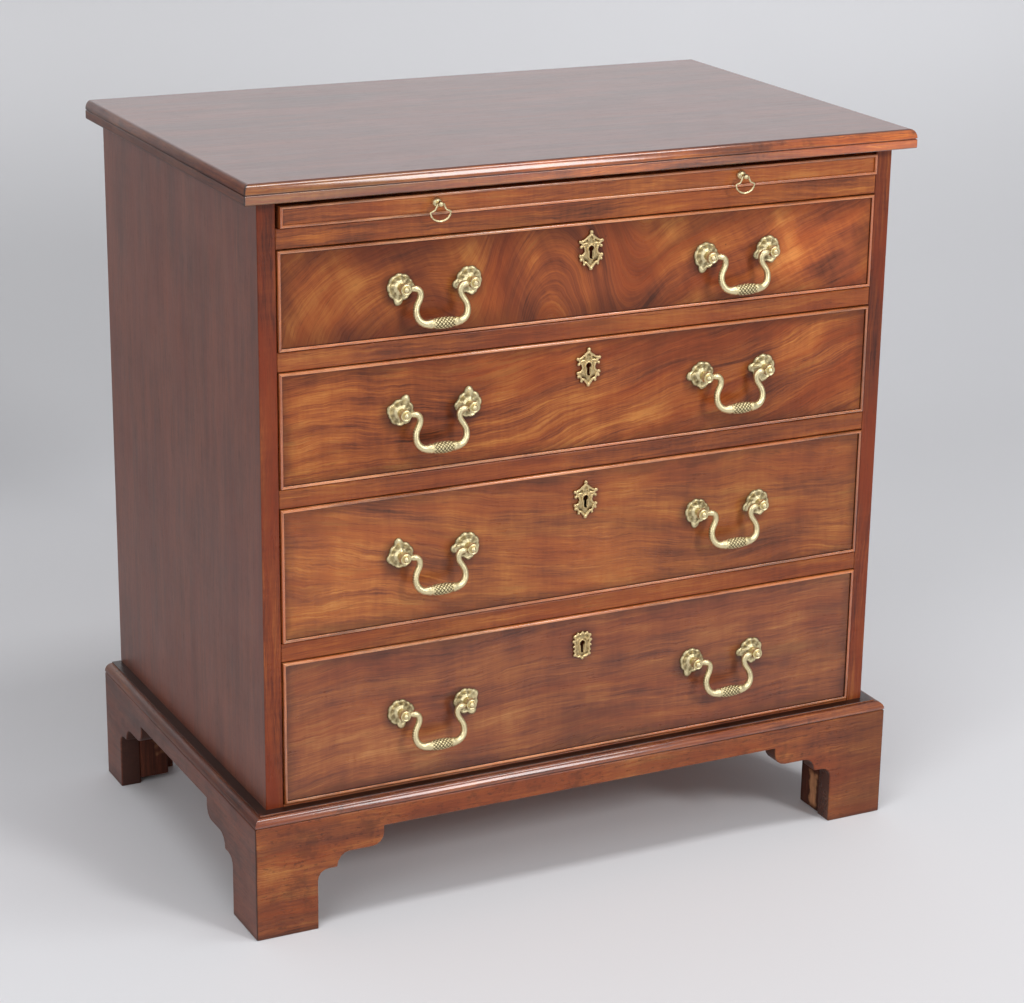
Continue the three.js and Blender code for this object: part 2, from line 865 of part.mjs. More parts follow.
// A cast rose with its post, its shank through the drawer front and its nut.
// The post is bored on the side that faces the other post.
function makeRose(x, z, turn, boreSide) {
  const outline = leafyOutline(
    roseRadius,
    roseRadius,
    roseScallops,
    scallopShare,
    roseLeafShares,
    rosePoints,
  );
  const angle = THREE.MathUtils.degToRad(turn);
  const place = (share, y) =>
    outline.map(([a, b]) => {
      const across = (a * Math.cos(angle) - b * Math.sin(angle)) * share;
      const up = (a * Math.sin(angle) + b * Math.cos(angle)) * share;
      return new THREE.Vector3(x + across, frontY + y, z + up);
    });
  const plate = loft([place(1, 0), place(1, -roseEdge), place(roseDomeShare, -roseDome)]);

  const headBack = bossHalfLength - pivotReach;
  const headFront = -bossHalfLength - pivotReach;
  const nutFace = frontThickness + nutThickness;
  const profile = [
    [0, nutFace],
    [nutRadius, nutFace],
    [nutRadius, frontThickness],
    [shankRadius, frontThickness],
    [shankRadius, -roseEdge / 2],
    [bossNeckRadius, -roseEdge / 2],
    [bossNeckRadius, headBack + bossChamfer],
    [bossRadius, headBack],
    [bossRadius, headFront],
    [bossRadius - bossChamfer, headFront - bossChamfer],
    [pommelRadius, headFront - bossChamfer],
    [pommelRadius * pommelTipShare, headFront - pommelHeight],
    [0, headFront - pommelHeight - bossChamfer],
  ];
  const post = turnAboutY(
    profile.map(([radius, y]) => [radius, frontY + y]),
    x,
    z,
    postSides,
  );
  const bore = new THREE.CylinderGeometry(
    boreRadius,
    boreRadius,
    boreDepth + cutOverrun,
    boreSides,
  );
  bore.rotateZ(Math.PI / 2);
  const boreMiddle = bossRadius - boreDepth / 2 + cutOverrun / 2;
  bore.translate(x + boreSide * boreMiddle, frontY - pivotReach, z);
  return cut(join(plate, post), outward(bore));
}

// A ring of points square to a path that lies close to the front plane.
function wireRing(path, i, radius, sides, looped) {
  const last = path.length - 1;
  const before = looped ? path[(i + last) % path.length] : path[Math.max(i - 1, 0)];
  const after = looped ? path[(i + 1) % path.length] : path[Math.min(i + 1, last)];
  const along = new THREE.Vector3().subVectors(after, before).normalize();
  const across = new THREE.Vector3().crossVectors(along, new THREE.Vector3(0, 1, 0)).normalize();
  const lift = new THREE.Vector3().crossVectors(across, along);
  const ring = [];
  for (let k = 0; k < sides; k += 1) {
    const angle = (2 * Math.PI * k) / sides;
    ring.push(
      path[i]
        .clone()
        .addScaledVector(across, radius * Math.cos(angle))
        .addScaledVector(lift, radius * Math.sin(angle)),
    );
  }
  return ring;
}

// The swan neck bail, with a pin at each end and a full grip in the middle.
function makeBail(x, z) {
  const halfSpacing = postSpacing / 2;
  const pinTip = halfSpacing - bossRadius + pinDepth;
  const pinY = frontY - pivotReach;
  const shoulder = halfSpacing - bossRadius - pinGap;
  const half = [[pinTip, 0, 0, pinRadius], [shoulder, 0, 0, pinRadius]];
  for (const [across, down, forward, girth] of bailShares) {
    half.push([halfSpacing * across, bailDrop * down, bailThrow * forward, gripRadius * girth]);
  }
  const left = half.map(([across, down, forward, radius]) => ({
    place: new THREE.Vector3(x - across, pinY - forward, z - down),
    radius,
  }));
  const right = half.map(([across, down, forward, radius]) => ({
    place: new THREE.Vector3(x + across, pinY - forward, z - down),
    radius,
  }));
  const grip = { place: new THREE.Vector3(x, pinY - bailThrow, z - bailDrop), radius: gripRadius };
  const stations = [...left, grip, ...right.reverse()];
  const path = stations.map((station) => station.place);
  return loft(stations.map((station, i) => wireRing(path, i, station.radius, bailSides, false)));
}

// A pierced plate with scrolled corners over a keyhole; the lowest one has no finial.
function makeEscutcheon(keyZ, plain) {
  const middleZ = keyZ - keyHeight / 2 + keyRadius + plateRise;
  const leaves = plain ? smallPlateScrollShares : plateScrollShares;
  const halfWidth = plain ? smallPlateHalfWidth : plateHalfWidth;
  const halfHeight = plain ? smallPlateHalfHeight : plateHalfHeight;
  const outline = leafyOutline(halfWidth, halfHeight, 1, 0, leaves, platePoints);
  const place = (share, y) =>
    outline.map(([across, up]) => new THREE.Vector3(across * share, frontY + y, middleZ + up * share));
  const plate = loft([
    place(1, 0),
    place(1, -plateThickness * plateEdgeShare),
    place(plateDomeShare, -plateThickness),
  ]);
  const hole = runBack(
    keyholeOutline(0, keyZ),
    frontY - plateThickness - cutOverrun,
    frontY + cutOverrun,
  );
  return cut(plate, hole);
}

const slideFaceY = frontY - slideProud;

// Board of the slide behind its beaded front.
function makeSlide(floor) {
  const x0 = slideGapLeft - halfOpening;
  const x1 = halfOpening - slideGapRight;
  const z0 = floor + slideLift;
  const front = beadedFront(x0, x1, z0, z0 + slideThickness, slideFaceY);
  const board = block(
    x0,
    x1,
    slideFaceY + frontThickness - cutOverrun,
    backFaceY - slideRearGap,
    z0,
    z0 + slideBoardThickness,
  );
  return join(front, board);
}

// A knob whose neck ends in an eye, bored across for the wire of the drop.
function makeKnob(x, z) {
  const profile = [
    [0, 0],
    [knobRadius, 0],
    [knobRadius, -knobEdge],
    [knobFaceRadius, -knobHeight],
    [eyeNeckRadius, -knobHeight],
    [eyeNeckRadius, eyeRadius - eyeReach],
    [eyeRadius, eyeRadius / 2 - eyeReach],
    [eyeRadius, -eyeRadius / 2 - eyeReach],
    [eyeNeckRadius, -eyeRadius - eyeReach],
    [0, -eyeRadius - eyeReach],
  ];
  const knob = turnAboutY(
    profile.map(([radius, y]) => [radius, slideFaceY + y]),
    x,
    z,
    pullSides,
  );
  const bore = new THREE.CylinderGeometry(
    eyeBoreRadius,
    eyeBoreRadius,
    2 * (eyeRadius + cutOverrun),
    boreSides,
  );
  bore.rotateZ(Math.PI / 2);
  bore.translate(x, slideFaceY - eyeReach, z);
  return cut(knob, outward(bore));
}

// The stirrup drop: a bar through the eye, shoulders with a barb, and a round foot.
function makeDrop(x, z) {
  const half = stirrupShares.map(([across, down], i) => [
    dropHalfWidth * across,
    dropDepth * down,
    i === 0 ? dropWireRadius : stirrupWireRadius,
  ]);
  const shoulder = half[half.length - 1][1];
  const bow = quarter(0, shoulder, dropHalfWidth, dropDepth - shoulder, 0, 1, curveSteps);
  for (const [across, down] of bow.slice(1, -1)) half.push([across, down, stirrupWireRadius]);
  const foot = [0, dropDepth, stirrupWireRadius];
  const mirrored = half.map(([across, down, radius]) => [-across, down, radius]).reverse();
  const stations = [[0, 0, dropWireRadius], ...half, foot, ...mirrored];
  const path = stations.map(
    ([across, down]) => new THREE.Vector3(x + across, slideFaceY - eyeReach, z - down),
  );
  return loft(
    stations.map(([, , radius], i) => wireRing(path, i, radius, dropSides, true)),
    true,
  );
}

// Put together from the floor up.
let level = floorOfDrawers;
for (let i = drawerRows.length - 1; i >= 0; i -= 1) {
  makeDrawer(`drawer_${i + 1}`, level, drawerRows[i]);
  level += drawerRows[i].opening;
  if (i > 0) {
    addPiece(`divider_${i}`, makeDivider(level, railThickness), mahogany);
    level += railThickness;
  }
}
addPiece('slide_rail', makeDivider(level, slideRailThickness), mahogany);
level += slideRailThickness;

const pullZ = level + slideLift + slideThickness / 2 + pullRise;
addPiece('brushing_slide', makeSlide(level), mahogany);
for (const side of [-1, 1]) {
  const label = side < 0 ? 'left' : 'right';
  addPiece(`slide_knob_${label}`, makeKnob(side * pullOffset, pullZ), brass);
  addPiece(`slide_drop_${label}`, makeDrop(side * pullOffset, pullZ), brass);
}
const topUnderside = level + slideOpening;

addPiece('top_board', makeTopBoard(topUnderside), darkMahogany);
addPiece('back_panel', makeBack(topUnderside), pine);
addPiece(
  'bottom_board',
  block(-halfOpening, halfOpening, frontY, backFaceY, plinthHeight, floorOfDrawers),
  mahogany,
);
addPiece('base_moulding', makeBaseMoulding(), mahogany);
addPiece('plinth_front', makePlinthFront(), mahogany);
for (const side of [-1, 1]) {
  const label = side < 0 ? 'left' : 'right';
  addPiece(`side_${label}`, makeSide(side, topUnderside), darkMahogany);
  addPiece(`plinth_${label}`, makePlinthEnd(side), mahogany);
  addPiece(`rear_foot_${label}`, makeRearFoot(side), pine);
}

export default chest;
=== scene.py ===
"""A small Georgian style chest of drawers with a brushing slide, dressed for pictures."""

import json
import math

import bpy
from mathutils import Matrix, Vector


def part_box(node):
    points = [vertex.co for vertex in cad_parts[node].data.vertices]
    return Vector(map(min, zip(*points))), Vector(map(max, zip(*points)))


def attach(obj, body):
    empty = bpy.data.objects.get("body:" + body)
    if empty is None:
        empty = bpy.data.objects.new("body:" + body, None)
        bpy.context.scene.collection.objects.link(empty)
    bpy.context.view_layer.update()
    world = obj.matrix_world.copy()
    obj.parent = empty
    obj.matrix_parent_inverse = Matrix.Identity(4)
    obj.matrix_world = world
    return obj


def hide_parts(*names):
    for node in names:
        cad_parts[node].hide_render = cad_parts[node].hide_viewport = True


bl_info = {
    "name": "Mahogany chest of drawers",
    "version": (1, 0, 0),
    "blender": (4, 5, 0),
    "location": "View3D > Sidebar > Chest",
    "description": "Dresses the case, drawers and brass of a small mahogany chest",
    "category": "Object",
}

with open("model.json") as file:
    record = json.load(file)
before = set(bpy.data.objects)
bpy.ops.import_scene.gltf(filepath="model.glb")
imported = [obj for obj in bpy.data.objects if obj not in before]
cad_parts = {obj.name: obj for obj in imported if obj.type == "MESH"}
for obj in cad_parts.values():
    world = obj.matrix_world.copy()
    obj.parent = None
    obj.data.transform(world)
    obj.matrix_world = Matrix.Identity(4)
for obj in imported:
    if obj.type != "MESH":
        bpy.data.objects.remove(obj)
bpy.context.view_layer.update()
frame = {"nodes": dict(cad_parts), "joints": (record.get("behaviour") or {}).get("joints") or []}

MM = 0.001
DRAWERS = ("drawer_1", "drawer_2", "drawer_3", "drawer_4")
SIDES = ("left", "right")
BACK_BOARDS = 5

# The figured board of a front, which stands before a core of plain wood
FACE_DEPTH = 2.5 * MM

# The two posts of a bail stand this far apart
POST_SPACING = 78 * MM

# A key turns this far below the top of each drawer front, in mm
KEY_DROPS = dict(zip(DRAWERS, (28.7, 29.7, 33.1, 33.4)))

# Turns a disc or a rod from upright to facing the front
ALONG_Y = (math.pi / 2, 0, 0)


def tint(red, green, blue):
    """A colour as a screen shows it, 0 to 255, in the linear values that shaders use."""

    def linear(value):
        value /= 255
        return value / 12.92 if value <= 0.04045 else ((value + 0.055) / 1.055) ** 2.4

    return (linear(red), linear(green), linear(blue))


# Sizes and colours a user would change


def length(name, description, default):
    return bpy.props.FloatProperty(
        name=name, description=description, default=default, unit="LENGTH", precision=4
    )


def colour(name, description, default):
    return bpy.props.FloatVectorProperty(
        name=name, description=description, default=default, subtype="COLOR", size=3, min=0, max=1
    )


class ChestSizes(bpy.types.PropertyGroup):
    bead: length("Bead", "Width of the cock beads", 3 * MM)
    bead_height: length("Bead height", "How far a cock bead stands proud", 2.7 * MM)
    softness: length("Softness", "Radius of the worn edges of the boards", 1.2 * MM)
    rose: length("Rose", "Radius of a cast rose without its leaves", 13.6 * MM)
    grip: length("Grip", "Radius of the full part of a bail", 6 * MM)
    lozenge: length("Lozenge", "Pitch of the cross hatching on a grip", 4.2 * MM)


class ChestColours(bpy.types.PropertyGroup):
    deep: colour("Deep figure", "Darkest streaks of the mahogany", tint(78, 38, 24))
    dark: colour("Dark figure", "Dark streaks of the mahogany", tint(124, 58, 32))
    middle: colour("Middle", "Body colour of the mahogany", tint(158, 80, 38))
    light: colour("Light figure", "Light streaks of the mahogany", tint(190, 114, 56))
    end_dark: colour("Dark of the ends", "Dark of the case sides", tint(104, 52, 34))
    end_light: colour("Light of the ends", "Light of the case sides", tint(132, 70, 48))
    bead: colour("Bead", "Cock beads and rubbed edges", tint(220, 132, 76))
    oak: colour("Oak", "Drawer linings", tint(184, 138, 96))
    pine: colour("Pine", "Back boards and blocks", tint(156, 112, 76))
    brass: colour("Brass", "Rubbed brass", tint(230, 215, 170))
    tarnish: colour("Tarnish", "Brass in its hollows", tint(122, 104, 68))
    backdrop: colour("Backdrop", "Paper behind and below", tint(226, 226, 229))


def settings():
    scene = bpy.context.scene
    return scene.chest_sizes, scene.chest_colours


# Shader maths


def arithmetic(operation, swapped=False):
    """A method that joins a wire, and another value where one is given, by a Math node."""

    def method(wire, other=None):
        values = [wire] if other is None else [other, wire] if swapped else [wire, other]
        return wire.recipe.node("ShaderNodeMath", {"operation": operation}, dict(enumerate(values)))

    return method


class Wire:
    """An output of a node that takes part in plain arithmetic."""

    __add__ = arithmetic("ADD")
    __sub__ = arithmetic("SUBTRACT")
    __rsub__ = arithmetic("SUBTRACT", swapped=True)
    __mul__ = arithmetic("MULTIPLY")
    __abs__ = arithmetic("ABSOLUTE")
    __gt__ = arithmetic("GREATER_THAN")
    __lt__ = arithmetic("LESS_THAN")
    least = arithmetic("MINIMUM")
    most = arithmetic("MAXIMUM")
    sine = arithmetic("SINE")
    root = arithmetic("SQRT")

    def __init__(self, recipe, socket):
        self.recipe = recipe
        self.socket = socket


class Recipe:
    """The nodes of one material."""

    def __init__(self, name):
        self.material = bpy.data.materials.new(name)
        self.material.use_nodes = True
        self.tree = self.material.node_tree
        self.tree.nodes.clear()

    def node(self, kind, settings=None, inputs=None, output=0):
        """A node: its settings first, then the values and links of its sockets."""
        made = self.tree.nodes.new(kind)
        for key, value in (settings or {}).items():
            if key == "stops":
                self.set_stops(made.color_ramp, value)
            else:
                setattr(made, key, value)
        for key, value in (inputs or {}).items():
            self.feed(made.inputs[key], value)
        return Wire(self, made.outputs[output]) if made.outputs else None

    def set_stops(self, ramp, stops):
        while len(ramp.elements) < len(stops):
            ramp.elements.new(1)
        for element, (place, value) in zip(ramp.elements, stops):
            element.position = place
            element.color = (*value, 1)

    def feed(self, socket, value):
        if isinstance(value, Wire):
            self.tree.links.new(value.socket, socket)
        elif socket.type == "RGBA":
            socket.default_value = (*value[:3], 1)
        else:
            socket.default_value = value

    def place(self):
        """Object coordinates in millimetres, as three wires."""
        place = self.node("ShaderNodeTexCoord", output="Object")
        parts = [self.node("ShaderNodeSeparateXYZ", inputs={0: place}, output=i) for i in range(3)]
        return [part * (1 / MM) for part in parts]

    def point(self, x, y, z):
        return self.node("ShaderNodeCombineXYZ", inputs={0: x, 1: y, 2: z})

    def noise(self, point, scale=1, detail=3, rough=0.55):
        inputs = {"Vector": point, "Scale": scale, "Detail": detail, "Roughness": rough}
        return self.node("ShaderNodeTexNoise", inputs=inputs, output="Fac")

    def cells(self, point, scale):
        """How far a point lies from the nearest of many scattered middles."""
        inputs = {"Vector": point, "Scale": scale}
        return self.node("ShaderNodeTexVoronoi", inputs=inputs, output="Distance")

    def rise(self, value, start, end):
        """0 before start, 1 after end, and smooth between them."""
        return self.node(
            "ShaderNodeMapRange", {"interpolation_type": "SMOOTHSTEP"},
            {"Value": value, "From Min": start, "From Max": end}
        )

    def blend(self, share, first, second, kind="MIX"):
        """Goes from one colour to another."""
        choice = {"data_type": "RGBA", "blend_type": kind}
        return self.node("ShaderNodeMix", choice, {0: share, 6: first, 7: second}, 2)

    def either(self, share, first, second):
        """Goes from one number to another."""
        return self.node("ShaderNodeMix", {"data_type": "FLOAT"}, {0: share, 2: first, 3: second})

    def ramp(self, value, stops):
        return self.node("ShaderNodeValToRGB", {"stops": stops}, {0: value}, "Color")

    def bump(self, height, strength, distance):
        inputs = {"Strength": strength, "Distance": distance, "Height": height}
        return self.node("ShaderNodeBump", inputs=inputs, output="Normal")

    def surface(self, **inputs):
        names = {key.replace("_", " "): value for key, value in inputs.items()}
        shader = self.node("ShaderNodeBsdfPrincipled", inputs=names)
        self.node("ShaderNodeOutputMaterial", inputs={"Surface": shader})
        return self.material


def dimmed(value, share):
    return tuple(part * share for part in value)


def shifted(tones, *shares):
    """Tones with their red, green and blue each scaled."""
    return tuple(tuple(part * share for part, share in zip(tone, shares)) for tone in tones)


def wood(
    name, tones, grain="x", flow=None, contrast=1.0, seed=0.0, gloss=0.3, polish=0.12, red=0.35,
    marks_and_shade=None, pores=0.42, wave=1.0, shine=0.4, glow=None, shade=(1.42, 1.5, 1.6), stripe=1.0,
    patch=0.34, smear=0.2, coat_rough=0.16, coat_ior=1.5
):
    """Polished or dry wood, cut from a solid whose grain runs along one axis.

    tones goes from the darkest to the lightest streaks. flow bends the grain lines: it
    gets the recipe and the place and gives the distance along and across them. The
    darkening function gives a share of soiling, dark joints and painted shade, and glow
    a share of the shade colour in the same way: paler figure and raw wood on some woods,
    painted light on the top's edge and on the level beads.
    """
    r = Recipe(name)
    x, y, z = r.place()
    runs = {"x": (x, z, y), "y": (y, z, x), "z": (z, x, y)}
    along, across, deep = grain(r, x, y, z) if callable(grain) else runs[grain]
    if flow:
        along, across = flow(r, x, z)
    else:
        sway = r.noise(r.point(along * 0.003, across * 0.008, deep * 0.008 + seed), detail=1)
        across = across + (sway - 0.5) * (30 * wave)
    ruffle = r.noise(r.point(x * 0.05 + seed, y * 0.05, z * 0.05), detail=3, rough=0.6) - 0.5
    across = across + ruffle * (4.5 * wave)

    def layer(fine, coarse, detail, rough=0.5, shift=0.0):
        point = r.point(along * coarse, across * fine + shift, deep * fine + seed)
        return r.noise(point, detail=detail, rough=rough) - 0.5

    bands = layer(0.024, 0.004, 2, shift=7.1)
    streaks = layer(0.09, 0.0075, 3, 0.55, 3.3)
    fine = layer(0.32, 0.013, 2, 0.55, 9.2)
    fibre = layer(0.85, 0.026, 2, 0.65, 5.7)
    mottle = r.noise(r.point(along * 0.016, across * 0.01, deep * 0.01 + seed + 4), detail=3) - 0.5
    fiddle = r.noise(r.point(along * 0.22, across * 0.03, deep * 0.03 + seed), detail=2) - 0.5
    figure = bands * 0.6 + (streaks * 0.7 + fine * 0.62 + fibre * 0.75) * stripe
    share = (figure + mottle * patch + fiddle * 0.14) * contrast + 0.5
    colour = r.ramp(share, list(zip((0.18, 0.38, 0.58, 0.82), tones)))
    warm = r.rise(layer(0.03, 0.0055, 2, shift=17.0), -0.06, 0.12)
    (reddened,) = shifted(tones[-2:-1], 0.86, 0.56, 0.42)
    colour = r.blend(warm * red, colour, reddened)

    dashes = r.noise(r.point(along * 0.05, across * 1.1, deep * 1.1 + seed), detail=2, rough=0.7)
    pore = r.rise(dashes, 0.58, 0.72)
    colour = r.blend(pore * pores, colour, dimmed(tones[0], 0.6))
    nicks = r.rise(r.cells(r.point(x, y, z), 0.028), 0.04, 0.018)
    nicks = nicks * (r.noise(r.point(x, y, z), 0.013, detail=1) > 0.55)
    colour = r.blend(nicks * 0.6, colour, dimmed(tones[0], 0.4))
    smoky = r.noise(r.point(along * 0.005, across * 0.024, deep * 0.024 + seed + 8), detail=4)
    smoke = r.rise(smoky + fine * 0.4, 0.52, 0.72)
    colour = r.blend(smoke * 0.36, colour, dimmed(tones[0], 0.9))
    if glow:
        colour = r.blend(glow(r, x, z), colour, shade, "MULTIPLY")
    # Darkens by soiling, dark joints and painted shade
    if marks_and_shade:
        colour = r.blend(marks_and_shade(r, x, y, z), colour, dimmed(tones[0], 0.45))

    smears = r.noise(r.point(x, y, z), 0.02, detail=4, rough=0.6) - 0.5
    rough = smears * smear + gloss + pore * 0.08 + fine * 0.1
    ripple = r.noise(r.point(x, y, z), 0.02, detail=1)
    height = fibre * 0.2 - pore * 0.4 - nicks + ripple * 1.2
    return r.surface(
        Base_Color=colour, Roughness=rough, Specular_IOR_Level=shine, Coat_Weight=polish,
        Coat_Roughness=coat_rough, Coat_IOR=coat_ior, Normal=r.bump(height, 0.3, 0.12 * MM)
    )


def brass(name, shares=(1, 1, 1), dullness=1):
    """Old brass: rubbed bright on its high places, olive and dull in its hollows."""
    colours = settings()[1]
    (bright,) = shifted((colours.brass,), *shares)
    tarnish = dimmed(colours.tarnish, dullness)
    r = Recipe(name)
    x, y, z = r.place()
    high = r.node("ShaderNodeAttribute", {"attribute_name": "rubbed"}, output="Fac")
    spots = r.noise(r.point(x, y, z), 0.55, detail=4, rough=0.65)
    broad = r.noise(r.point(x, y, z), 0.11, detail=2)
    rubbed = r.rise(high + (spots - 0.5) * 0.55 + (broad - 0.5) * 0.3, 0.2, 0.78)
    colour = r.blend(rubbed, tarnish, bright)
    colour = r.blend(r.rise(spots, 0.56, 0.7) * 0.5, colour, dimmed(bright, 0.5))
    colour = r.blend(r.rise(high, 0.15, -0.25) * 0.85, colour, dimmed(tarnish, 0.3))
    height = spots * 0.7 + r.noise(r.point(x, y, z), 1.6, detail=2) * 0.5
    return r.surface(
        Base_Color=colour, Metallic=rubbed * 0.25 + 0.75,
        Roughness=0.54 - rubbed * 0.17 + (spots - 0.5) * 0.2, Normal=r.bump(height, 0.7, 0.3 * MM)
    )


# Modelling helpers


def only(*pieces):
    bpy.ops.object.select_all(action="DESELECT")
    for piece in pieces:
        piece.select_set(True)
    bpy.context.view_layer.objects.active = pieces[0]


def edit(piece, mode="FACE", action="SELECT"):
    only(piece)
    bpy.ops.object.mode_set(mode="EDIT")
    bpy.ops.mesh.select_mode(type=mode)
    bpy.ops.mesh.select_all(action=action)


def leave():
    bpy.ops.object.mode_set(mode="OBJECT")


def edit_edges(piece, chosen):
    """Starts an edit of the edges whose two ends pass a test."""
    edit(piece, "EDGE", "DESELECT")
    leave()
    for edge in piece.data.edges:
        edge.select = chosen(*(piece.data.vertices[i].co for i in edge.vertices))
    bpy.ops.object.mode_set(mode="EDIT")


def face_out():
    """Turns all faces of the mesh in hand outward and ends its edit."""
    bpy.ops.mesh.select_all(action="SELECT")
    bpy.ops.mesh.normals_make_consistent(inside=False)
    leave()


def sliced(piece, y, **side):
    """Cuts a piece across Y and closes the cut."""
    edit(piece)
    bpy.ops.mesh.bisect(plane_co=(0, y, 0), plane_no=(0, 1, 0), use_fill=True, **side)
    leave()


def modified(piece, kind, **values):
    only(piece)
    modifier = piece.modifiers.new(kind.title(), kind)
    for key, value in values.items():
        setattr(modifier, key, value)
    bpy.ops.object.modifier_apply(modifier=modifier.name)


def combined(piece, tool, operation="DIFFERENCE"):
    """Takes a tool out of a piece, or adds it, and removes the tool."""
    modified(piece, "BOOLEAN", object=tool, operation=operation, solver="EXACT")
    bpy.data.objects.remove(tool)


def settle(piece, name):
    """Gives a piece its name and puts its place into its mesh."""
    only(piece)
    bpy.ops.object.transform_apply(location=True, rotation=True, scale=True)
    piece.name = name
    piece.data.name = name
    return piece


def sized(add, place, size, name, **values):
    """A unit shape, set at a place and stretched to its size."""
    add(size=1, location=place, **values)
    bpy.context.object.scale = size
    return settle(bpy.context.object, name)


def rod(radius, depth, place, sides=16, rotation=ALONG_Y):
    bpy.ops.mesh.primitive_cylinder_add(
        vertices=sides, radius=radius, depth=depth, location=place, rotation=rotation
    )
    return bpy.context.object


def smooth(piece, angle=40):
    only(piece)
    bpy.ops.object.shade_smooth_by_angle(angle=math.radians(angle))


def paint(piece, *materials):
    piece.data.materials.clear()
    for material in materials:
        piece.data.materials.append(material)


def copied(name, node):
    """A merged copy of a CAD piece, its flat faces whole again."""
    mesh = frame["nodes"][node].data.copy()
    piece = bpy.data.objects.new(name, mesh)
    bpy.context.scene.collection.objects.link(piece)
    mesh.name = name
    edit(piece)
    bpy.ops.mesh.remove_doubles(threshold=0.005 * MM)
    bpy.ops.mesh.dissolve_limited(angle_limit=math.radians(0.4))
    leave()
    return piece


def duplicate(piece, name):
    twin = piece.copy()
    twin.data = piece.data.copy()
    twin.name = name
    twin.data.name = name
    bpy.context.scene.collection.objects.link(twin)
    return twin


def joined(first, *others):
    only(first, *others)
    bpy.ops.object.join()
    return first


def turned(profile, sides, place, name):
    """Turned stock along Y: a disc drawn out and scaled through pairs of radius and depth."""
    x, z = place
    radius, depth = profile[0]
    bpy.ops.mesh.primitive_circle_add(
        vertices=sides, radius=radius, fill_type="NGON", location=(x, depth, z), rotation=ALONG_Y
    )
    piece = settle(bpy.context.object, name)
    edit(piece)
    for next_radius, next_depth in profile[1:]:
        bpy.ops.mesh.extrude_region_move(TRANSFORM_OT_translate={"value": (0, next_depth - depth, 0)})
        ratio = next_radius / radius
        bpy.ops.transform.resize(value=(ratio, 1, ratio), center_override=(x, next_depth, z))
        radius, depth = next_radius, next_depth
    face_out()
    return piece


def tube(stations, sides, name):
    """A round rod along a smooth path; each station gives x, y, z and radius in mm."""
    bpy.ops.curve.primitive_nurbs_path_add()
    path = bpy.context.object
    spline = path.data.splines[0]
    missing = len(stations) - len(spline.points)
    if missing < 0:
        path.data.splines.remove(spline)
        spline = path.data.splines.new("NURBS")
        missing = len(stations) - 1
    spline.points.add(missing)
    for point, (x, y, z, radius) in zip(spline.points, stations):
        point.co = (x * MM, y * MM, z * MM, 1)
        point.radius = radius
    spline.order_u = min(4, len(stations))
    spline.use_endpoint_u = True
    spline.resolution_u = 5
    path.data.dimensions = "3D"
    path.data.bevel_depth = 1 * MM
    path.data.bevel_resolution = sides // 2 - 2
    path.data.use_fill_caps = True
    path.data.twist_mode = "Z_UP"
    only(path)
    bpy.ops.object.convert(target="MESH")
    piece = settle(bpy.context.object, name)
    edit(piece, "VERT")
    bpy.ops.mesh.remove_doubles(threshold=0.01 * MM)
    face_out()
    return piece


def ball(x, y, z, radius, squash=1.0):
    """A bead of metal, its place and radius in mm."""
    bpy.ops.mesh.primitive_uv_sphere_add(
        segments=16, ring_count=10, radius=radius * MM, location=(x * MM, y * MM, z * MM)
    )
    bead = bpy.context.object
    bead.scale = (1, squash, 1)
    return settle(bead, "ball")


def rub(piece, measure):
    """Stores how bright the metal is rubbed, 0 to 1, at each corner of the mesh."""
    values = piece.data.attributes.new("rubbed", "FLOAT", "POINT")
    for vertex, value in zip(piece.data.vertices, values.data):
        value.value = measure(vertex)


def rub_high(piece, face_y, depth):
    """Brighter metal on the places that stand highest off a face, in mm."""
    rub(piece, lambda v: 0.3 + 0.8 * (face_y - v.co.y) / (depth * MM))


# Grain of the single boards


def away_from(x, z, across, up, wide=1, tall=1):
    """Distance in mm from a place on a front, with its width and height weighed apart."""
    right, over = x - across, z - up
    return (right * right * wide + over * over * tall).root()


def elbow(x, across, reach):
    """Rises to both sides of a place, level at it and straight beyond its reach."""
    return ((x - across) * (x - across) + reach * reach).root()


def drawer_flow(kind):
    """The run of the grain on a drawer front, as places along and across its lines.

    The number added to a ring of lines brings it level with the run that it joins.
    """

    def flow(r, x, z):
        sway = r.noise(r.point(x * 0.0045, 0.0, z * 0.009 + kind * 9.0), detail=1) - 0.5
        curl = r.noise(r.point(x * 0.011, 4.0, z * 0.016 + kind * 5.0), detail=1) - 0.5
        if kind == 1:
            left = away_from(x, z, across=-165, up=600, wide=0.6) + 598
            arch = away_from(x, z, across=-45, up=590, wide=2.2, tall=0.35) + 541
            slant = z - x * 0.4 + 22
            lines = r.either(r.rise(x, -190, -90), left, arch)
            lines = r.either(r.rise(x, 0, 100), lines, slant)
            return x + z * 0.5, lines + sway * 30 + curl * 10
        if kind == 2:
            rise = (x + elbow(x, across=-80, reach=120)) * 0.12
            return x, z - rise + sway * 46 + curl * 12
        if kind == 3:
            fall = (x - elbow(x, across=-30, reach=150)) * 0.115
            eye = away_from(x, z, across=-330, up=300, wide=0.25) + 232
            lines = r.either(r.rise(x, -170, -330) * r.rise(z, 420, 350), z + fall, eye)
            return x, lines + sway * 44 + curl * 12
        rise = (x - elbow(x, across=-120, reach=150)) * -0.035
        return x, z + rise + sway * 36 + curl * 10

    return flow


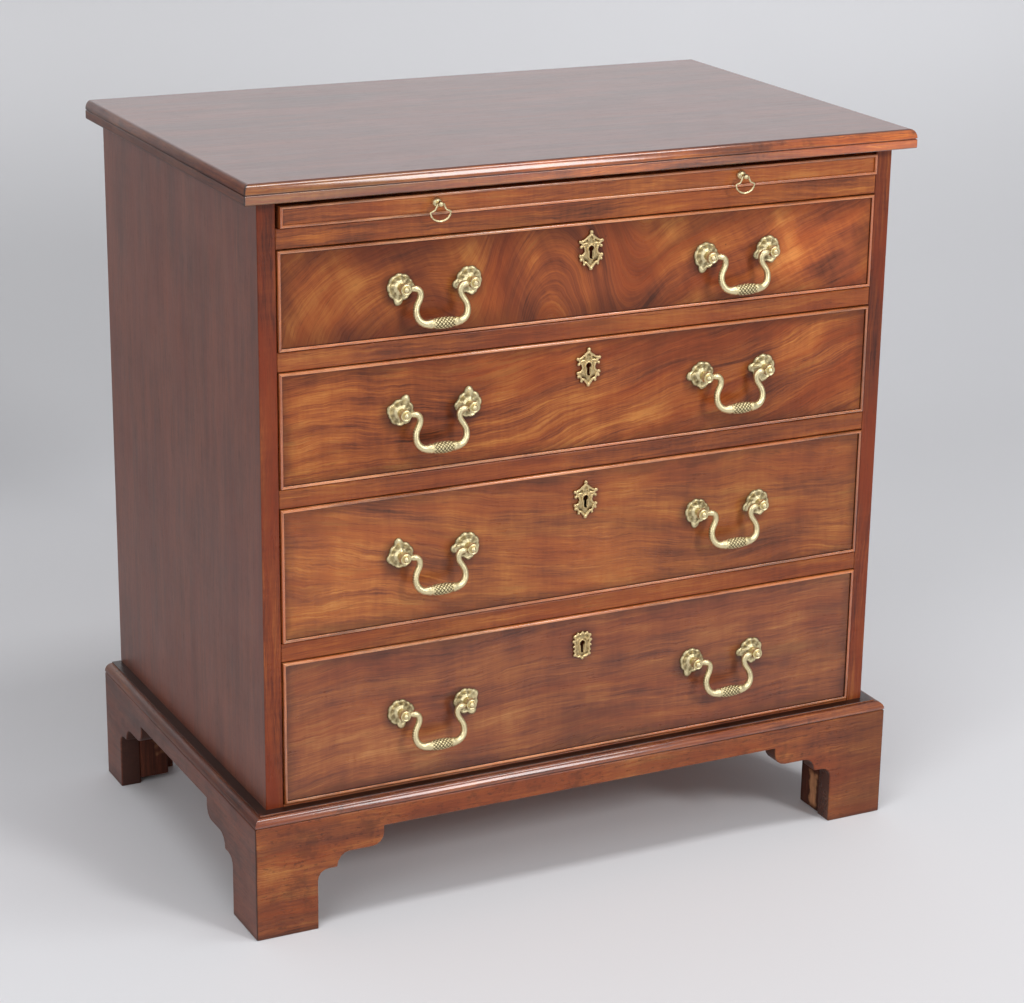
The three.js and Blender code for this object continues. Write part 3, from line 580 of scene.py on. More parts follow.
def drawer_glow(kind):
    """Paler patches of a drawer front: across, up and reach in mm, and strength."""
    patches = {
        1: ((310, 700, 240, 1.0), (0, 690, 200, 0.4), (130, 660, 110, 0.1)),
        2: ((40, 575, 110, 0.2), (300, 580, 130, 0.5), (-300, 560, 80, 0.35)),
        3: ((-260, 400, 230, 0.6), (0, 380, 150, 0.4)),
        4: ((-220, 180, 220, 0.4), (180, 180, 200, 0.3))
    }[kind]

    def glow(r, x, z):
        stain = r.noise(r.point(x * 0.012, 2.0, z * 0.03), detail=3) - 0.5
        total = stain * 0.3
        for across, up, reach, strength in patches:
            total = total + r.rise(away_from(x, z, across, up, tall=2), reach, 0) * strength
        return total.most(0).least(0.85)

    return glow


def drawer_soil_and_shadow(name):
    """A dark line inside the beads of a drawer front and a darker band near them, soiling round the key
    plate, and painted shadow with soiling round the posts of the bails.
    """
    low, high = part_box(f"{name}_front")
    plate = sum(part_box(f"{name}_escutcheon"), Vector()) / (2 * MM)
    bead = settings()[0].bead
    reach = 22 if name == DRAWERS[0] else 7
    # The dark round each post is painted shadow mixed with soiling, set this far to the left and down
    # from the post, in mm
    aside, below = 4, 3

    def marks_and_shade(r, x, y, z):
        gap = (x - (low.x + bead) / MM).least((high.x - bead) / MM - x)
        gap = gap.least(z - (low.z + bead) / MM).least((high.z - bead) / MM - z)
        stain = r.noise(r.point(x, y, z), 0.03, detail=4, rough=0.6)
        line = r.rise(gap, 1.5, 0.2) * 0.8
        soft = r.rise(gap - stain * 26 + 6, reach, -6) * 0.36
        round_plate = away_from(x, z, plate.x, plate.z, wide=1.5) + stain * 8
        soil_and_shade = line.most(soft).most(r.rise(round_plate, 32, 17) * 0.45)
        for i in range(1, 5):
            post_x, post_z = (place / MM for place in post_middle(name, i))
            away = away_from(x, z, post_x - aside, post_z - below)
            soil_and_shade = soil_and_shade.most(r.rise(away + stain * 12, 31, 16) * 0.62)
        return soil_and_shade

    return marks_and_shade


def past_case(x, y):
    """How far a place lies beyond the ends of the case and before its front, in mm."""
    low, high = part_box("side_right")
    return abs(x) - high.x / MM, low.y / MM - y


def plinth_grime(r, x, y, z):
    """Dark specks and patches, dark arrises at the front corners, and darker low on the feet, toward
    the right foot and on the faces set back from the front and the ends, as under the moulding.
    """
    low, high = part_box("plinth_front")
    from_front, end = y - low.y / MM, high.x / MM
    stain = r.noise(r.point(x, y, z), 0.035, detail=4, rough=0.65)
    specks = r.noise(r.point(x * 0.6, y * 0.6, z * 1.3), 0.2, detail=3, rough=0.7)
    spots = r.rise(specks, 0.56, 0.68) * 0.5
    inside = from_front.least(end - abs(x))
    cut = r.rise(inside + stain * 0.8, 0.9, 2.5) * 0.8
    foot = r.rise(z - stain * 14, 4, -8) * 0.6
    corner = r.rise(abs(x) - end + stain * 3, -0.9, 1.1) * r.rise(from_front, 3.15, 1.15) * 0.8
    right = r.rise(x - end + stain * 60, -65.4, 4.6) * 0.35
    broad = r.rise(stain, 0.52, 0.68) * 0.4
    return spots.most(foot).most(corner).most(right).most(broad).most(cut)


def ledge_dust_and_shadow(r, x, y, z):
    """Painted shadow and dust where the upper ledge of the base moulding meets the case, dusty patches,
    and a dark line at the foot of the moulding.
    """
    stain = r.noise(r.point(x, y, z), 0.04, detail=4, rough=0.65)
    low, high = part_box("base_moulding")
    past_end, past_front = past_case(x, y)
    # Painted shadow in the crease where the ledge meets the front and the ends of the case
    front = r.rise(past_front - stain * 5, 5.25, 1.25)
    side = r.rise(past_end - stain * 6, 9, 2)
    ledge = front.most(side) * r.rise(z - high.z / MM, -0.9, -0.2)
    foot = r.rise(z - low.z / MM - stain * 3, 0.8, -1) * 0.6
    return (ledge * 0.9).most(foot).most(r.rise(stain, 0.6, 0.72) * 0.5)


def edge_soil_and_shade(r, x, y, z):
    """Painted shade under the edge of the top and over its left end, darker in the quirk and along the
    upper arris, a worn dark crack at the left front mitre, and soiled patches.
    """
    stain = r.noise(r.point(x, y, z), 0.03, detail=4, rough=0.65)
    low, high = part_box("top_board")
    past_end, past_front = past_case(x, y)
    up, quirk_up = z - low.z / MM, 10.1
    quirk = r.rise(abs(up - quirk_up) + stain * 0.8, 1.7, 0.9) * 0.5
    # Painted shade along the underside of the edge and over its left end
    under = r.rise(up - stain * 3, 1.2, -1.2) * 0.6
    left = r.rise(x - low.x / MM + stain * 30, 18.5, 4.5) * 0.5
    crack = r.rise(abs(past_end - past_front - 1) + stain * 3, 4.4, 2.8) * r.rise(past_end, 8, 10)
    crown = r.rise(z - high.z / MM, -1.4, -0.2) * 0.6
    soil_and_shade = quirk.most(under).most(left).most(crown).most(crack * (x < 0) * 0.85)
    return soil_and_shade.most(r.rise(stain, 0.56, 0.7) * 0.45)


def plank_joints(r, x, y, z):
    """Dark joints between the upright back boards, every other board a little darker."""
    low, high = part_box("back_panel")
    board = (high.x - low.x) / (BACK_BOARDS * MM)
    wave = ((x - low.x / MM) * (math.pi / board)).sine()
    stain = r.noise(r.point(x * 0.1, y, z * 0.004), detail=2)
    joint = r.rise(abs(wave) + stain * 0.02, 0.045, 0.025) * 0.9
    return joint.most(r.rise(wave, -0.02, 0.02) * 0.16)


def mitred(r, x, y, z):
    """Grain that follows a moulding round the mitres of the two front corners."""
    past_end, past_front = past_case(x, y)
    end = past_end > past_front
    return r.either(end, x, y), z, r.either(end, y, x)


def split_wood(r, x, z):
    """The pale split face of a glue block, and pale patches on the blocks at the back."""
    y = r.place()[1]
    rag = r.noise(r.point(x, y, z), 0.08, detail=3) * 14
    split_y, split_z, inside = -206, 26, 236
    front = r.rise(abs(y - split_y) + rag, 17, 12) * r.rise(abs(z - split_z) + rag, 32, 24)
    back = r.rise(r.noise(r.point(x, y, z), 0.035, detail=2), 0.58, 0.72) * (y > 0)
    return front.most(back * r.rise(y, inside, inside - 6))


def painted_edge_light(r, x, z):
    """Painted light caught by the middle and the right of the top's front edge."""
    middle = r.rise(abs(x + 20), 240, 20) * 0.8
    return middle.most(r.rise(abs(x - 340), 200, 20))


def painted_bead_highlight(r, x, z):
    """Painted highlights on lengths of a bead, more of them to the left."""
    patches = r.rise(r.noise(r.point(x, 3.0, z), 0.012, detail=3), 0.4, 0.56)
    return r.rise(x, 330, -200) * patches * 0.8


def make_woods():
    """All woods of the chest by name."""
    _, colours = settings()
    case = tuple(tuple(getattr(colours, key)) for key in ("deep", "dark", "middle", "light"))
    dull, pale, bead = tuple(colours.end_dark), tuple(colours.end_light), tuple(colours.bead)
    ends = shifted((dimmed(dull, 0.75), dull, pale, dimmed(pale, 1.3)), 0.77, 0.79, 0.79)
    tops = shifted(ends, 0.66, 0.58, 0.5)
    worn = (dimmed(bead, 0.3), dimmed(bead, 0.6), dimmed(bead, 0.85), bead)
    oaks, pines = (
        (dimmed(tone, dark), dimmed(tone, 0.8), tuple(tone), dimmed(tone, 1.2))
        for tone, dark in ((colours.oak, 0.55), (colours.pine, 0.5))
    )
    blocks = (dimmed(dull, 0.25), dimmed(dull, 0.4), dimmed(dull, 0.6), dull)
    dry = {"gloss": 0.68, "polish": 0.0, "red": 0.0, "wave": 0.5, "shine": 0.25}
    calm = {"contrast": 1.15, "stripe": 0.65}
    waxed = {"gloss": 0.2, "polish": 1.0, "coat_rough": 0.1, "coat_ior": 1.75, "smear": 0.08}
    woods = {
        "top": wood(
            "top_mahogany", shifted(tops, 1.08, 1.0, 0.96), seed=3, gloss=0.36, polish=0.5,
            contrast=0.6, wave=0.4, smear=0.05, coat_rough=0.26
        ),
        # The ends of the top's edge: the edge wood painted darker as shade, and left unpolished
        "edge_end": wood(
            "edge_end_mahogany", shifted(case, 0.42, 0.44, 0.5), grain="y", seed=8, gloss=0.35,
            polish=0.0, shine=0.3, marks_and_shade=edge_soil_and_shade
        ),
        # The ends and ledge of the base moulding: the moulding wood painted darker as shade, and hardly
        # polished
        "moulding_end": wood(
            "moulding_end_mahogany", shifted(case, 0.46, 0.52, 0.6), grain="y", seed=43, gloss=0.36,
            polish=0.05, shine=0.35, marks_and_shade=ledge_dust_and_shadow
        ),
        # The edge of the top is painted lighter in its middle and to the right, as painted light
        "edge": wood(
            "edge_mahogany", shifted(case, 0.78, 0.9, 0.72), grain=mitred, seed=7, glow=painted_edge_light,
            shade=(2.3, 2.1, 1.5), marks_and_shade=edge_soil_and_shade, **waxed
        ),
        "end": wood(
            "end_mahogany", ends, grain="z", seed=11, gloss=0.38, polish=0.0, contrast=0.62, wave=0.4,
            shine=0.5, smear=0.1
        ),
        "foot_end": wood(
            "foot_mahogany", shifted(ends, 0.9, 0.98, 1.05), grain="y", seed=17, gloss=0.4, polish=0.0,
            marks_and_shade=plinth_grime
        ),
        "block": wood(
            "block_mahogany", blocks, grain="z", seed=19, glow=split_wood, shade=(6, 11, 11), **dry
        ),
        "stile": wood(
            "stile_mahogany", shifted(case, 0.7, 0.64, 0.66), grain="z", seed=21, red=0.85,
            contrast=1.3, stripe=0.75, shine=0.3, polish=0.06
        ),
        "rail": wood(
            "rail_mahogany", shifted(case, 0.94, 1.06, 1.02), seed=31, shine=0.32, polish=0.08, **calm
        ),
        "slide_rail": wood(
            "slide_rail_mahogany", shifted(case, 1.2, 1.45, 1.35), seed=33, shine=0.3, **calm
        ),
        "moulding": wood(
            "moulding_mahogany", shifted(case, 0.92, 1.0, 1.0), grain=mitred, seed=41, gloss=0.22,
            polish=1.0, marks_and_shade=ledge_dust_and_shadow, smear=0.08, coat_rough=0.12, coat_ior=1.66
        ),
        "plinth": wood(
            "plinth_mahogany", shifted(case, 0.86, 1.0, 1.1), grain=mitred, seed=51, red=0.5,
            contrast=0.9, shine=0.35, polish=0.08, pores=0.6, patch=0.7, stripe=0.8, marks_and_shade=plinth_grime
        ),
        "slide": wood("slide_mahogany", shifted(case, 1.24, 1.5, 1.5), seed=61, shine=0.35, **calm),
        "oak": wood("lining_oak", oaks, grain="y", seed=71, **dry),
        "panel": wood("bottom_oak", oaks, seed=73, **dry),
        "pine": wood("back_pine", pines, grain="z", seed=83, marks_and_shade=plank_joints, **dry),
        # The level beads carry pale painted highlights, more of them to the left
        "bead_level": wood(
            "bead_level", worn, seed=91, contrast=1.4, glow=painted_bead_highlight, shade=(1.25, 1.65, 2.3),
            **waxed
        ),
        # The upright beads are the bead wood painted darker, as painted shade
        "bead_upright": wood(
            "bead_upright", shifted(worn, 0.8, 0.72, 0.7), grain="z", seed=93, contrast=1.4, **waxed
        ),
    }
    looks = (
        # red, green, blue, contrast, redness, shine, stripe, patch, lift
        (0.84, 0.92, 0.94, 1.05, 0.4, 0.22, 0.5, 0.9, 1.35),
        (0.97, 1.09, 1.08, 1.05, 0.45, 0.25, 0.8, 0.6, 1.0),
        (1.0, 1.25, 1.24, 0.98, 0.35, 0.36, 0.68, 0.6, 1.0),
        (0.84, 1.04, 1.3, 0.95, 0.3, 0.48, 0.7, 0.7, 1.0),
    )
    for number, (name, look) in enumerate(zip(DRAWERS, looks), 1):
        red, green, blue, contrast, redness, shine, stripe, patch, lift = look
        woods[name] = wood(
            f"{name}_mahogany", shifted(case, red, green, blue), flow=drawer_flow(number),
            seed=number * 13.0, contrast=contrast, red=redness, shine=shine, polish=0.06, stripe=stripe,
            patch=patch, shade=dimmed((1.42, 1.5, 1.6), lift), glow=drawer_glow(number),
            marks_and_shade=drawer_soil_and_shadow(name)
        )
    return woods


# Filled by main, before the operators dress the pieces
woods = {}


# The pieces


def soften(piece, width):
    """Rounds the arrises and shades the moulded curves smooth."""
    sharp, broad = math.radians(50), 4000 * MM * MM
    modified(
        piece, "BEVEL", width=width, segments=3, limit_method="ANGLE", angle_limit=sharp,
        use_clamp_overlap=True
    )
    smooth(piece, 34)
    for face in piece.data.polygons:
        if face.area > broad:
            face.use_smooth = False


def round_corners(piece, width):
    """Rounds the mitred arrises at the outer corners of a moulded piece."""
    reach = max(abs(point.co.x) for point in piece.data.vertices)
    overhang, longest, hair = 12 * MM, 30 * MM, 0.05 * MM

    def chosen(first, second):
        along = second - first
        straight = max(abs(along.x), abs(along.y)) > longest
        level = abs(along.z) < hair and min(abs(along.x), abs(along.y)) < hair
        out = min(abs(first.x), abs(second.x)) > reach - overhang
        return out and not straight and not level

    edit_edges(piece, chosen)
    bpy.ops.mesh.bevel(offset=width, segments=4, clamp_overlap=True)
    leave()


class CHEST_OT_case(bpy.types.Operator):
    """Case, top, mouldings and feet with worn edges"""

    bl_idname = "chest.case"
    bl_label = "Case"

    def execute(self, context):
        sizes, _ = settings()
        corner = 6 * MM
        boards = {
            "top_board": "top", "side_left": "end", "side_right": "end", "back_panel": "pine",
            "bottom_board": "rail", "base_moulding": "moulding", "plinth_front": "plinth",
            "plinth_left": "foot_end", "plinth_right": "foot_end", "rear_foot_left": "block",
            "rear_foot_right": "block", "slide_rail": "slide_rail", "divider_1": "rail",
            "divider_2": "rail", "divider_3": "rail"
        }
        for node, look in boards.items():
            piece = copied(f"{node}_shown", node)
            if look in ("top", "moulding"):
                round_corners(piece, corner)
            soften(piece, sizes.softness * (0.5 if look in ("block", "pine") else 1))
            paint(piece, woods[look])
            if look == "end":
                self.dress_stile(piece, node)
            if look == "top":
                self.dress(piece, "edge", lambda face: face.normal.z < 0.97)
                # The ends of the top get the darker copy of the edge wood, painted shade
                self.dress(piece, "edge_end", lambda face: abs(face.normal.x) > 0.3)
            if look == "moulding":
                # The ends and ledge of the base moulding get the darker, duller copy of its wood,
                # painted shade
                self.dress(piece, "moulding_end", self.dull_shaded_moulding)
            if look == "foot_end":
                self.dress_inside(piece)
                self.add_glue_block(piece)
            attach(piece, "carcase")
            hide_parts(node)
        return {"FINISHED"}

    def dress(self, piece, look, chosen):
        """Gives another wood to the chosen faces of a piece."""
        piece.data.materials.append(woods[look])
        slot = len(piece.data.materials) - 1
        for face in piece.data.polygons:
            if chosen(face):
                face.material_index = slot

    def dull_shaded_moulding(self, face):
        """The ends of the base moulding and its ledge, which are polished less and painted darker as
        shade.
        """
        beyond_end, front_band = 376 * MM, -240 * MM
        end = abs(face.center.x) > beyond_end and abs(face.normal.y) < 0.5
        return end and face.center.y > front_band or face.normal.z > 0.97

    def dress_inside(self, piece):
        """The back of a side plinth and the block behind its foot are raw dark wood."""
        inside = max(abs(vertex.co.x) for vertex in piece.data.vertices) - 13 * MM
        self.dress(piece, "block", lambda face: abs(face.center.x) < inside)

    def add_glue_block(self, piece):
        """The block glued into the corner of a front foot, flush with the cut of the foot."""
        side = 1 if piece.data.vertices[0].co.x > 0 else -1
        place = (side * 349 * MM, -199 * MM, 33.5 * MM)
        size = (46 * MM, 41 * MM, 66 * MM)
        block = sized(bpy.ops.mesh.primitive_cube_add, place, size, "glue_block")
        edit(block, "EDGE")
        bpy.ops.mesh.bevel(offset=1.6 * MM, segments=3)
        face_out()
        smooth(block)
        paint(block, woods["block"])
        joined(piece, block)

    def dress_stile(self, piece, node):
        """The front edge of a side is a strip of the redder wood of the front."""
        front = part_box(node)[0].y + 1 * MM
        self.dress(piece, "stile", lambda face: face.center.y < front and face.normal.y < -0.5)


def beaded_face(name, low, high, face_y, bead, proud, woods_used):
    """A face board with a rounded bead round it, inset step by step from one plane."""
    width, height = high.x - low.x, high.z - low.z
    back_y = face_y + FACE_DEPTH
    middle = ((low.x + high.x) / 2, back_y, (low.z + high.z) / 2)
    size = (width, height, 1)
    piece = sized(bpy.ops.mesh.primitive_plane_add, middle, size, name, rotation=ALONG_Y)
    edit(piece)
    shoulder = proud * 0.55
    bpy.ops.mesh.extrude_region_move(
        TRANSFORM_OT_translate={"value": (0, face_y - shoulder - back_y, 0)}
    )
    steps = 8
    last_in, last_up = 0.0, 0.0
    for i in range(1, steps + 1):
        angle = math.pi * i / steps
        new_in = bead * (1 - math.cos(angle)) / 2
        new_up = (proud - shoulder) * math.sin(angle)
        bpy.ops.mesh.inset(
            thickness=new_in - last_in, depth=new_up - last_up, use_even_offset=True, use_outset=False
        )
        last_in, last_up = new_in, new_up
    seam_width, seam_depth = 0.25 * MM, 0.3 * MM
    bpy.ops.mesh.inset(thickness=0.05 * MM, depth=-shoulder - seam_depth)
    bpy.ops.mesh.inset(thickness=seam_width, depth=0)
    bpy.ops.mesh.inset(thickness=seam_width, depth=seam_depth)
    leave()
    paint(piece, *woods_used)
    inner_x = width / 2 - bead
    inner_z = height / 2 - bead
    for face in piece.data.polygons:
        x = abs(face.center.x - middle[0])
        z = abs(face.center.z - middle[2])
        if x < inner_x and z < inner_z:
            face.material_index = 0
        else:
            face.material_index = 2 if x - inner_x > z - inner_z else 1
    smooth(piece, 46)
    return piece


def behind_face(name, node, cut_y):
    """The board behind a face: a copy of the plain front, cut back to leave room for it."""
    piece = copied(name, node)
    sliced(piece, cut_y, clear_inner=True)
    smooth(piece, 30)
    return piece


def dressed_front(body, node, face_look, core_look, pierce=None):
    """Puts a beaded face and its core in place of a plain front."""
    sizes, _ = settings()
    low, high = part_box(node)
    face_y = low.y + FACE_DEPTH
    looks = (woods[face_look], woods["bead_level"], woods["bead_upright"])
    face = beaded_face(f"{body}_face", low, high, face_y, sizes.bead, sizes.bead_height, looks)
    if pierce:
        pierce(face, body, face_y)
    core = behind_face(f"{body}_core", node, face_y + FACE_DEPTH)
    paint(core, woods[core_look])
    for piece in (face, core):
        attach(piece, body)
        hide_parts(node)


class CHEST_OT_drawer_fronts(bpy.types.Operator):
    """Figured drawer fronts with their cock beads"""

    bl_idname = "chest.drawer_fronts"
    bl_label = "Drawer fronts"

    def execute(self, context):
        for name in DRAWERS:
            dressed_front(name, f"{name}_front", name, "rail", self.pierce)
        return {"FINISHED"}

    def pierce(self, face, name, face_y):
        """Cuts the keyhole and the holes of the four shanks through the face."""
        cutters = [keyhole_tool(name)]
        for i in range(1, 5):
            x, z = post_middle(name, i)
            cutters.append(rod(2.4 * MM, 20 * MM, (x, face_y, z)))
        combined(face, settle(joined(*cutters), "hole_tool"))


def post_middle(name, i):
    """Where a handle post stands: 1 and 2 belong to the left bail, 3 and 4 to the right."""
    side = SIDES[0] if i < 3 else SIDES[1]
    low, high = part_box(f"{name}_bail_{side}")
    joint = joint_of(f"{name}_bail_{side}_hinge")
    x = (low.x + high.x) / 2 + (POST_SPACING / 2 if i % 2 == 0 else -POST_SPACING / 2)
    return x, joint["pos_m"][2]


def joint_of(name):
    return next(joint for joint in frame["joints"] if joint["name"] == name)


def keyhole_tool(name):
    """A keyhole shaped cutter: a round for the barrel over a slot."""
    low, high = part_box(f"{name}_escutcheon")
    front_low, front_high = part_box(f"{name}_front")
    x, y, z = (low.x + high.x) / 2, front_low.y, front_high.z - KEY_DROPS[name] * MM
    radius, depth = 3 * MM, 30 * MM
    slot_width, slot_height = 3 * MM, 11 * MM
    barrel = settle(rod(radius, depth, (x, y, z), sides=24), "key_barrel")
    place, size = (x, y, z - slot_height / 2), (slot_width, depth, slot_height)
    slot = sized(bpy.ops.mesh.primitive_cube_add, place, size, "key_slot")
    combined(barrel, slot, "UNION")
    return barrel


class CHEST_OT_drawer_boxes(bpy.types.Operator):
    """Dovetailed linings and bottoms of the drawers"""

    bl_idname = "chest.drawer_boxes"
    bl_label = "Drawer boxes"

    def execute(self, context):
        for name in DRAWERS:
            for part, look in (("box", "oak"), ("bottom", "panel")):
                piece = copied(f"{name}_{part}_shown", f"{name}_{part}")
                paint(piece, woods[look])
                smooth(piece, 20)
                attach(piece, name)
                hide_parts(f"{name}_{part}")
        return {"FINISHED"}


class CHEST_OT_brushing_slide(bpy.types.Operator):
    """Brushing slide with its beaded front edge"""

    bl_idname = "chest.brushing_slide"
    bl_label = "Brushing slide"

    def execute(self, context):
        dressed_front("brushing_slide", "brushing_slide", "slide", "slide")
        return {"FINISHED"}


def brasswork(piece, body, node, material):
    paint(piece, material)
    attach(piece, body)
    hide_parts(node)


class CHEST_OT_roses(bpy.types.Operator):
    """Cast roses with their posts"""

    bl_idname = "chest.roses"
    bl_label = "Roses"

    # How far each rose of a drawer is turned, in degrees
    turns = {
        "drawer_1": (259, 193, 253, 201), "drawer_2": (68, 90, 181, 176),
        "drawer_3": (100, 187, 261, 198), "drawer_4": (276, 301, 250, 183)
    }

    def execute(self, context):
        sizes, _ = settings()
        metal = brass("rose_brass")
        plate = self.make_plate(sizes.rose)
        posts = [self.make_post(side) for side in (1, -1)]
        for name in DRAWERS:
            face_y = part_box(f"{name}_front")[0].y + FACE_DEPTH
            for i, turn in enumerate(self.turns[name], 1):
                x, z = post_middle(name, i)
                place = Matrix.Translation((x, face_y, z))
                rose = duplicate(plate, f"{name}_cast_rose_{i}")
                rose.data.transform(place @ Matrix.Rotation(math.radians(-turn), 4, "Y"))
                post = duplicate(posts[0] if i % 2 else posts[1], "post")
                post.data.transform(place)
                joined(rose, post)
                rub_high(rose, face_y - 1 * MM, 2.6)
                smooth(rose, 50)
                brasswork(rose, name, f"{name}_rose_{i}", metal)
        for spare in (plate, *posts):
            bpy.data.objects.remove(spare)
        return {"FINISHED"}

    def make_plate(self, radius):
        """A dished disc with scalloped leaves, a tail and a second point."""
        segments, steps = 112, 14
        bpy.ops.mesh.primitive_circle_add(
            vertices=segments, radius=radius, rotation=ALONG_Y, fill_type="NOTHING"
        )
        plate = settle(bpy.context.object, "rose_plate")
        edit(plate, "EDGE")
        rings = [1 - 0.72 * i / steps for i in range(steps + 1)]
        for outer, inner in zip(rings, rings[1:]):
            ratio = inner / outer
            bpy.ops.mesh.extrude_region_move()
            bpy.ops.transform.resize(value=(ratio, 1, ratio), center_override=(0, 0, 0))
        bpy.ops.mesh.edge_face_add()
        leave()
        for vertex in plate.data.vertices:
            flat = Vector((vertex.co.x, vertex.co.z))
            share = flat.length / radius
            angle = math.atan2(flat.y, flat.x)
            reach, height = self.relief(share, angle + 0.4 * (1 - share))
            vertex.co.x = flat.x * reach
            vertex.co.z = flat.y * reach
            vertex.co.y = -height * MM
        edit(plate, "EDGE", "DESELECT")
        bpy.ops.mesh.select_non_manifold()
        bpy.ops.mesh.extrude_region_move()
        bpy.ops.transform.resize(value=(1, 0, 1), center_override=(0, 0, 0))
        bpy.ops.mesh.edge_face_add()
        face_out()
        return plate

    def relief(self, share, angle):
        """How far out a place of the rose is drawn, and how high it stands in mm."""
        lobes = abs(math.cos(4.5 * angle))
        tail = bump_at(angle, 0, 0.4)
        spur = bump_at(angle, 95, 0.36)
        reach = 1 + share**2 * (0.1 * lobes**0.6 + 0.32 * tail + 0.2 * spur)
        reach *= 1 + 0.05 * math.cos(angle + 1) * share
        rim = math.exp(-(((share - 0.9) / 0.09) ** 2)) * (0.5 + 0.5 * lobes)
        ribs = lobes**3 * math.exp(-(((share - 0.68) / 0.15) ** 2))
        hub = max(0, 1 - share / 0.56) ** 0.85
        height = 1.2 + 1.8 * rim + 0.8 * ribs + 6.5 * hub + 0.5 * (tail + spur) * share
        return reach, max(height * (1 - 0.5 * share**10), 0.4)

    def make_post(self, side):
        """A necked post with a ringed head and a pommel, bored for the pin."""
        # Radius and depth in mm, from the plate to the tip
        profile = [
            (5.2, -1.2), (4.9, -4.6), (4.7, -7.6), (5.0, -9.2), (5.9, -10.0), (6.3, -10.7),
            (6.3, -11.5), (5.9, -12.1), (5.7, -12.9), (5.7, -14.3), (6.1, -15.0), (5.9, -15.8),
            (5.0, -16.2), (4.2, -15.6), (3.6, -15.6), (3.3, -16.6), (2.8, -17.9), (1.7, -18.9),
            (0.6, -19.3)
        ]
        post = turned([(r * MM, y * MM) for r, y in profile], 28, (0, 0), "post")
        place = (side * 5.6 * MM, -13 * MM, 0)
        bore = rod(2.1 * MM, 6 * MM, place, rotation=(0, math.pi / 2, 0))
        combined(post, settle(bore, "bore"))
        return post


def bump_at(angle, degrees, spread):
    """1 where an angle meets a direction, falling to 0 at the spread beside it."""
    away = (angle - math.radians(degrees) + math.pi) % (2 * math.pi) - math.pi
    return max(0.0, math.cos(min(abs(away) / spread, 1) * math.pi / 2)) ** 0.8


class CHEST_OT_bails(bpy.types.Operator):
    """Swan neck bails with a cross hatched grip"""

    bl_idname = "chest.bails"
    bl_label = "Bails"

    # A neck of a bail from the pin: across, down and forward of the pin, and radius, in mm
    neck = (
        (36.3, 0, 0, 1.6), (33.5, 0, 0, 1.6), (32.2, 0, 0, 2.2), (30.8, 0, 0, 3.1),
        (28.0, 0.0, 0.1, 3.5), (25.3, 0.6, 0.2, 3.5), (23.2, 2.6, 0.4, 3.4), (22.3, 5.6, 0.7, 3.35),
        (22.5, 8.8, 1.1, 3.3), (24.0, 12.2, 1.7, 3.3), (26.4, 15.6, 2.4, 3.35), (28.3, 19.0, 3.3, 3.45),
        (29.1, 22.8, 4.2, 3.5), (28.9, 26.8, 5.1, 3.6), (27.6, 30.6, 6.1, 3.7), (24.8, 34.0, 7.0, 3.75),
        (21.0, 36.1, 7.6, 3.9), (17.6, 36.7, 7.9, 4.3)
    )

    # The level grip between the necks: its place, half its length, and across and radius
    grip_down, grip_forward, grip_half = 36.7, 8.0, 12.3
    grip = (
        (15.0, 4.9), (13.6, 5.2), (13.0, 5.2), (12.6, 4.4), (11.8, 4.6), (10.4, 5.3), (8.6, 5.7),
        (6.0, 6.0), (3.2, 6.15), (1.0, 6.2)
    )

    def execute(self, context):
        sizes, _ = settings()
        metal = brass("bail_brass")
        model = self.make_model(sizes)
        for name in DRAWERS:
            for side in SIDES:
                low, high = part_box(f"{name}_bail_{side}")
                pivot = joint_of(f"{name}_bail_{side}_hinge")["pos_m"]
                bail = duplicate(model, f"{name}_cast_bail_{side}")
                bail.data.transform(Matrix.Translation(((low.x + high.x) / 2, pivot[1], pivot[2])))
                brasswork(bail, f"{name}_bail_{side}", f"{name}_bail_{side}", metal)
        bpy.data.objects.remove(model)
        return {"FINISHED"}

    def make_model(self, sizes):
        half = [(across, -forward, -down, radius) for across, down, forward, radius in self.neck]
        half += [(across, -self.grip_forward, -self.grip_down, radius) for across, radius in self.grip]
        left = [(-across, y, z, radius) for across, y, z, radius in half]
        bail = tube(left + half[::-1], 72, "bail")
        self.hatch(bail, sizes)
        smooth(bail, 70)
        return bail

    def hatch(self, bail, sizes):
        """Lozenges on the full part of the grip, and nicks down the outside of the legs."""
        pitch, below_neck = sizes.lozenge, -28 * MM
        rubbed = []
        for vertex in bail.data.vertices:
            place, normal = vertex.co.copy(), vertex.normal.copy()
            full = max(0.0, 1 - (abs(place.x) / (self.grip_half * MM)) ** 14)
            if place.z < below_neck and full > 0:
                turn = math.atan2(place.z + self.grip_down * MM, place.y + self.grip_forward * MM)
                around = turn * sizes.grip
                one = abs(math.sin(math.pi * (place.x + around * 0.9) / pitch))
                two = abs(math.sin(math.pi * (place.x - around * 0.9) / pitch))
                cut = 1 - min(1.0, 1.5 * min(one, two))
                vertex.co -= normal * (1.0 * MM * cut * full)
                rubbed.append(1.3 - 1.7 * cut * full)
            else:
                leg = math.exp(-(((place.z + 20 * MM) / (9 * MM)) ** 2))
                outer = max(0.0, normal.x * (1 if place.x > 0 else -1))
                saw = 0.5 + 0.5 * math.sin(place.z / (0.42 * MM))
                vertex.co -= normal * (0.3 * MM * leg * outer * saw)
                rubbed.append(0.62 - 0.5 * leg * outer * saw - 0.3 * normal.y)
        rub(bail, lambda v: rubbed[v.index])


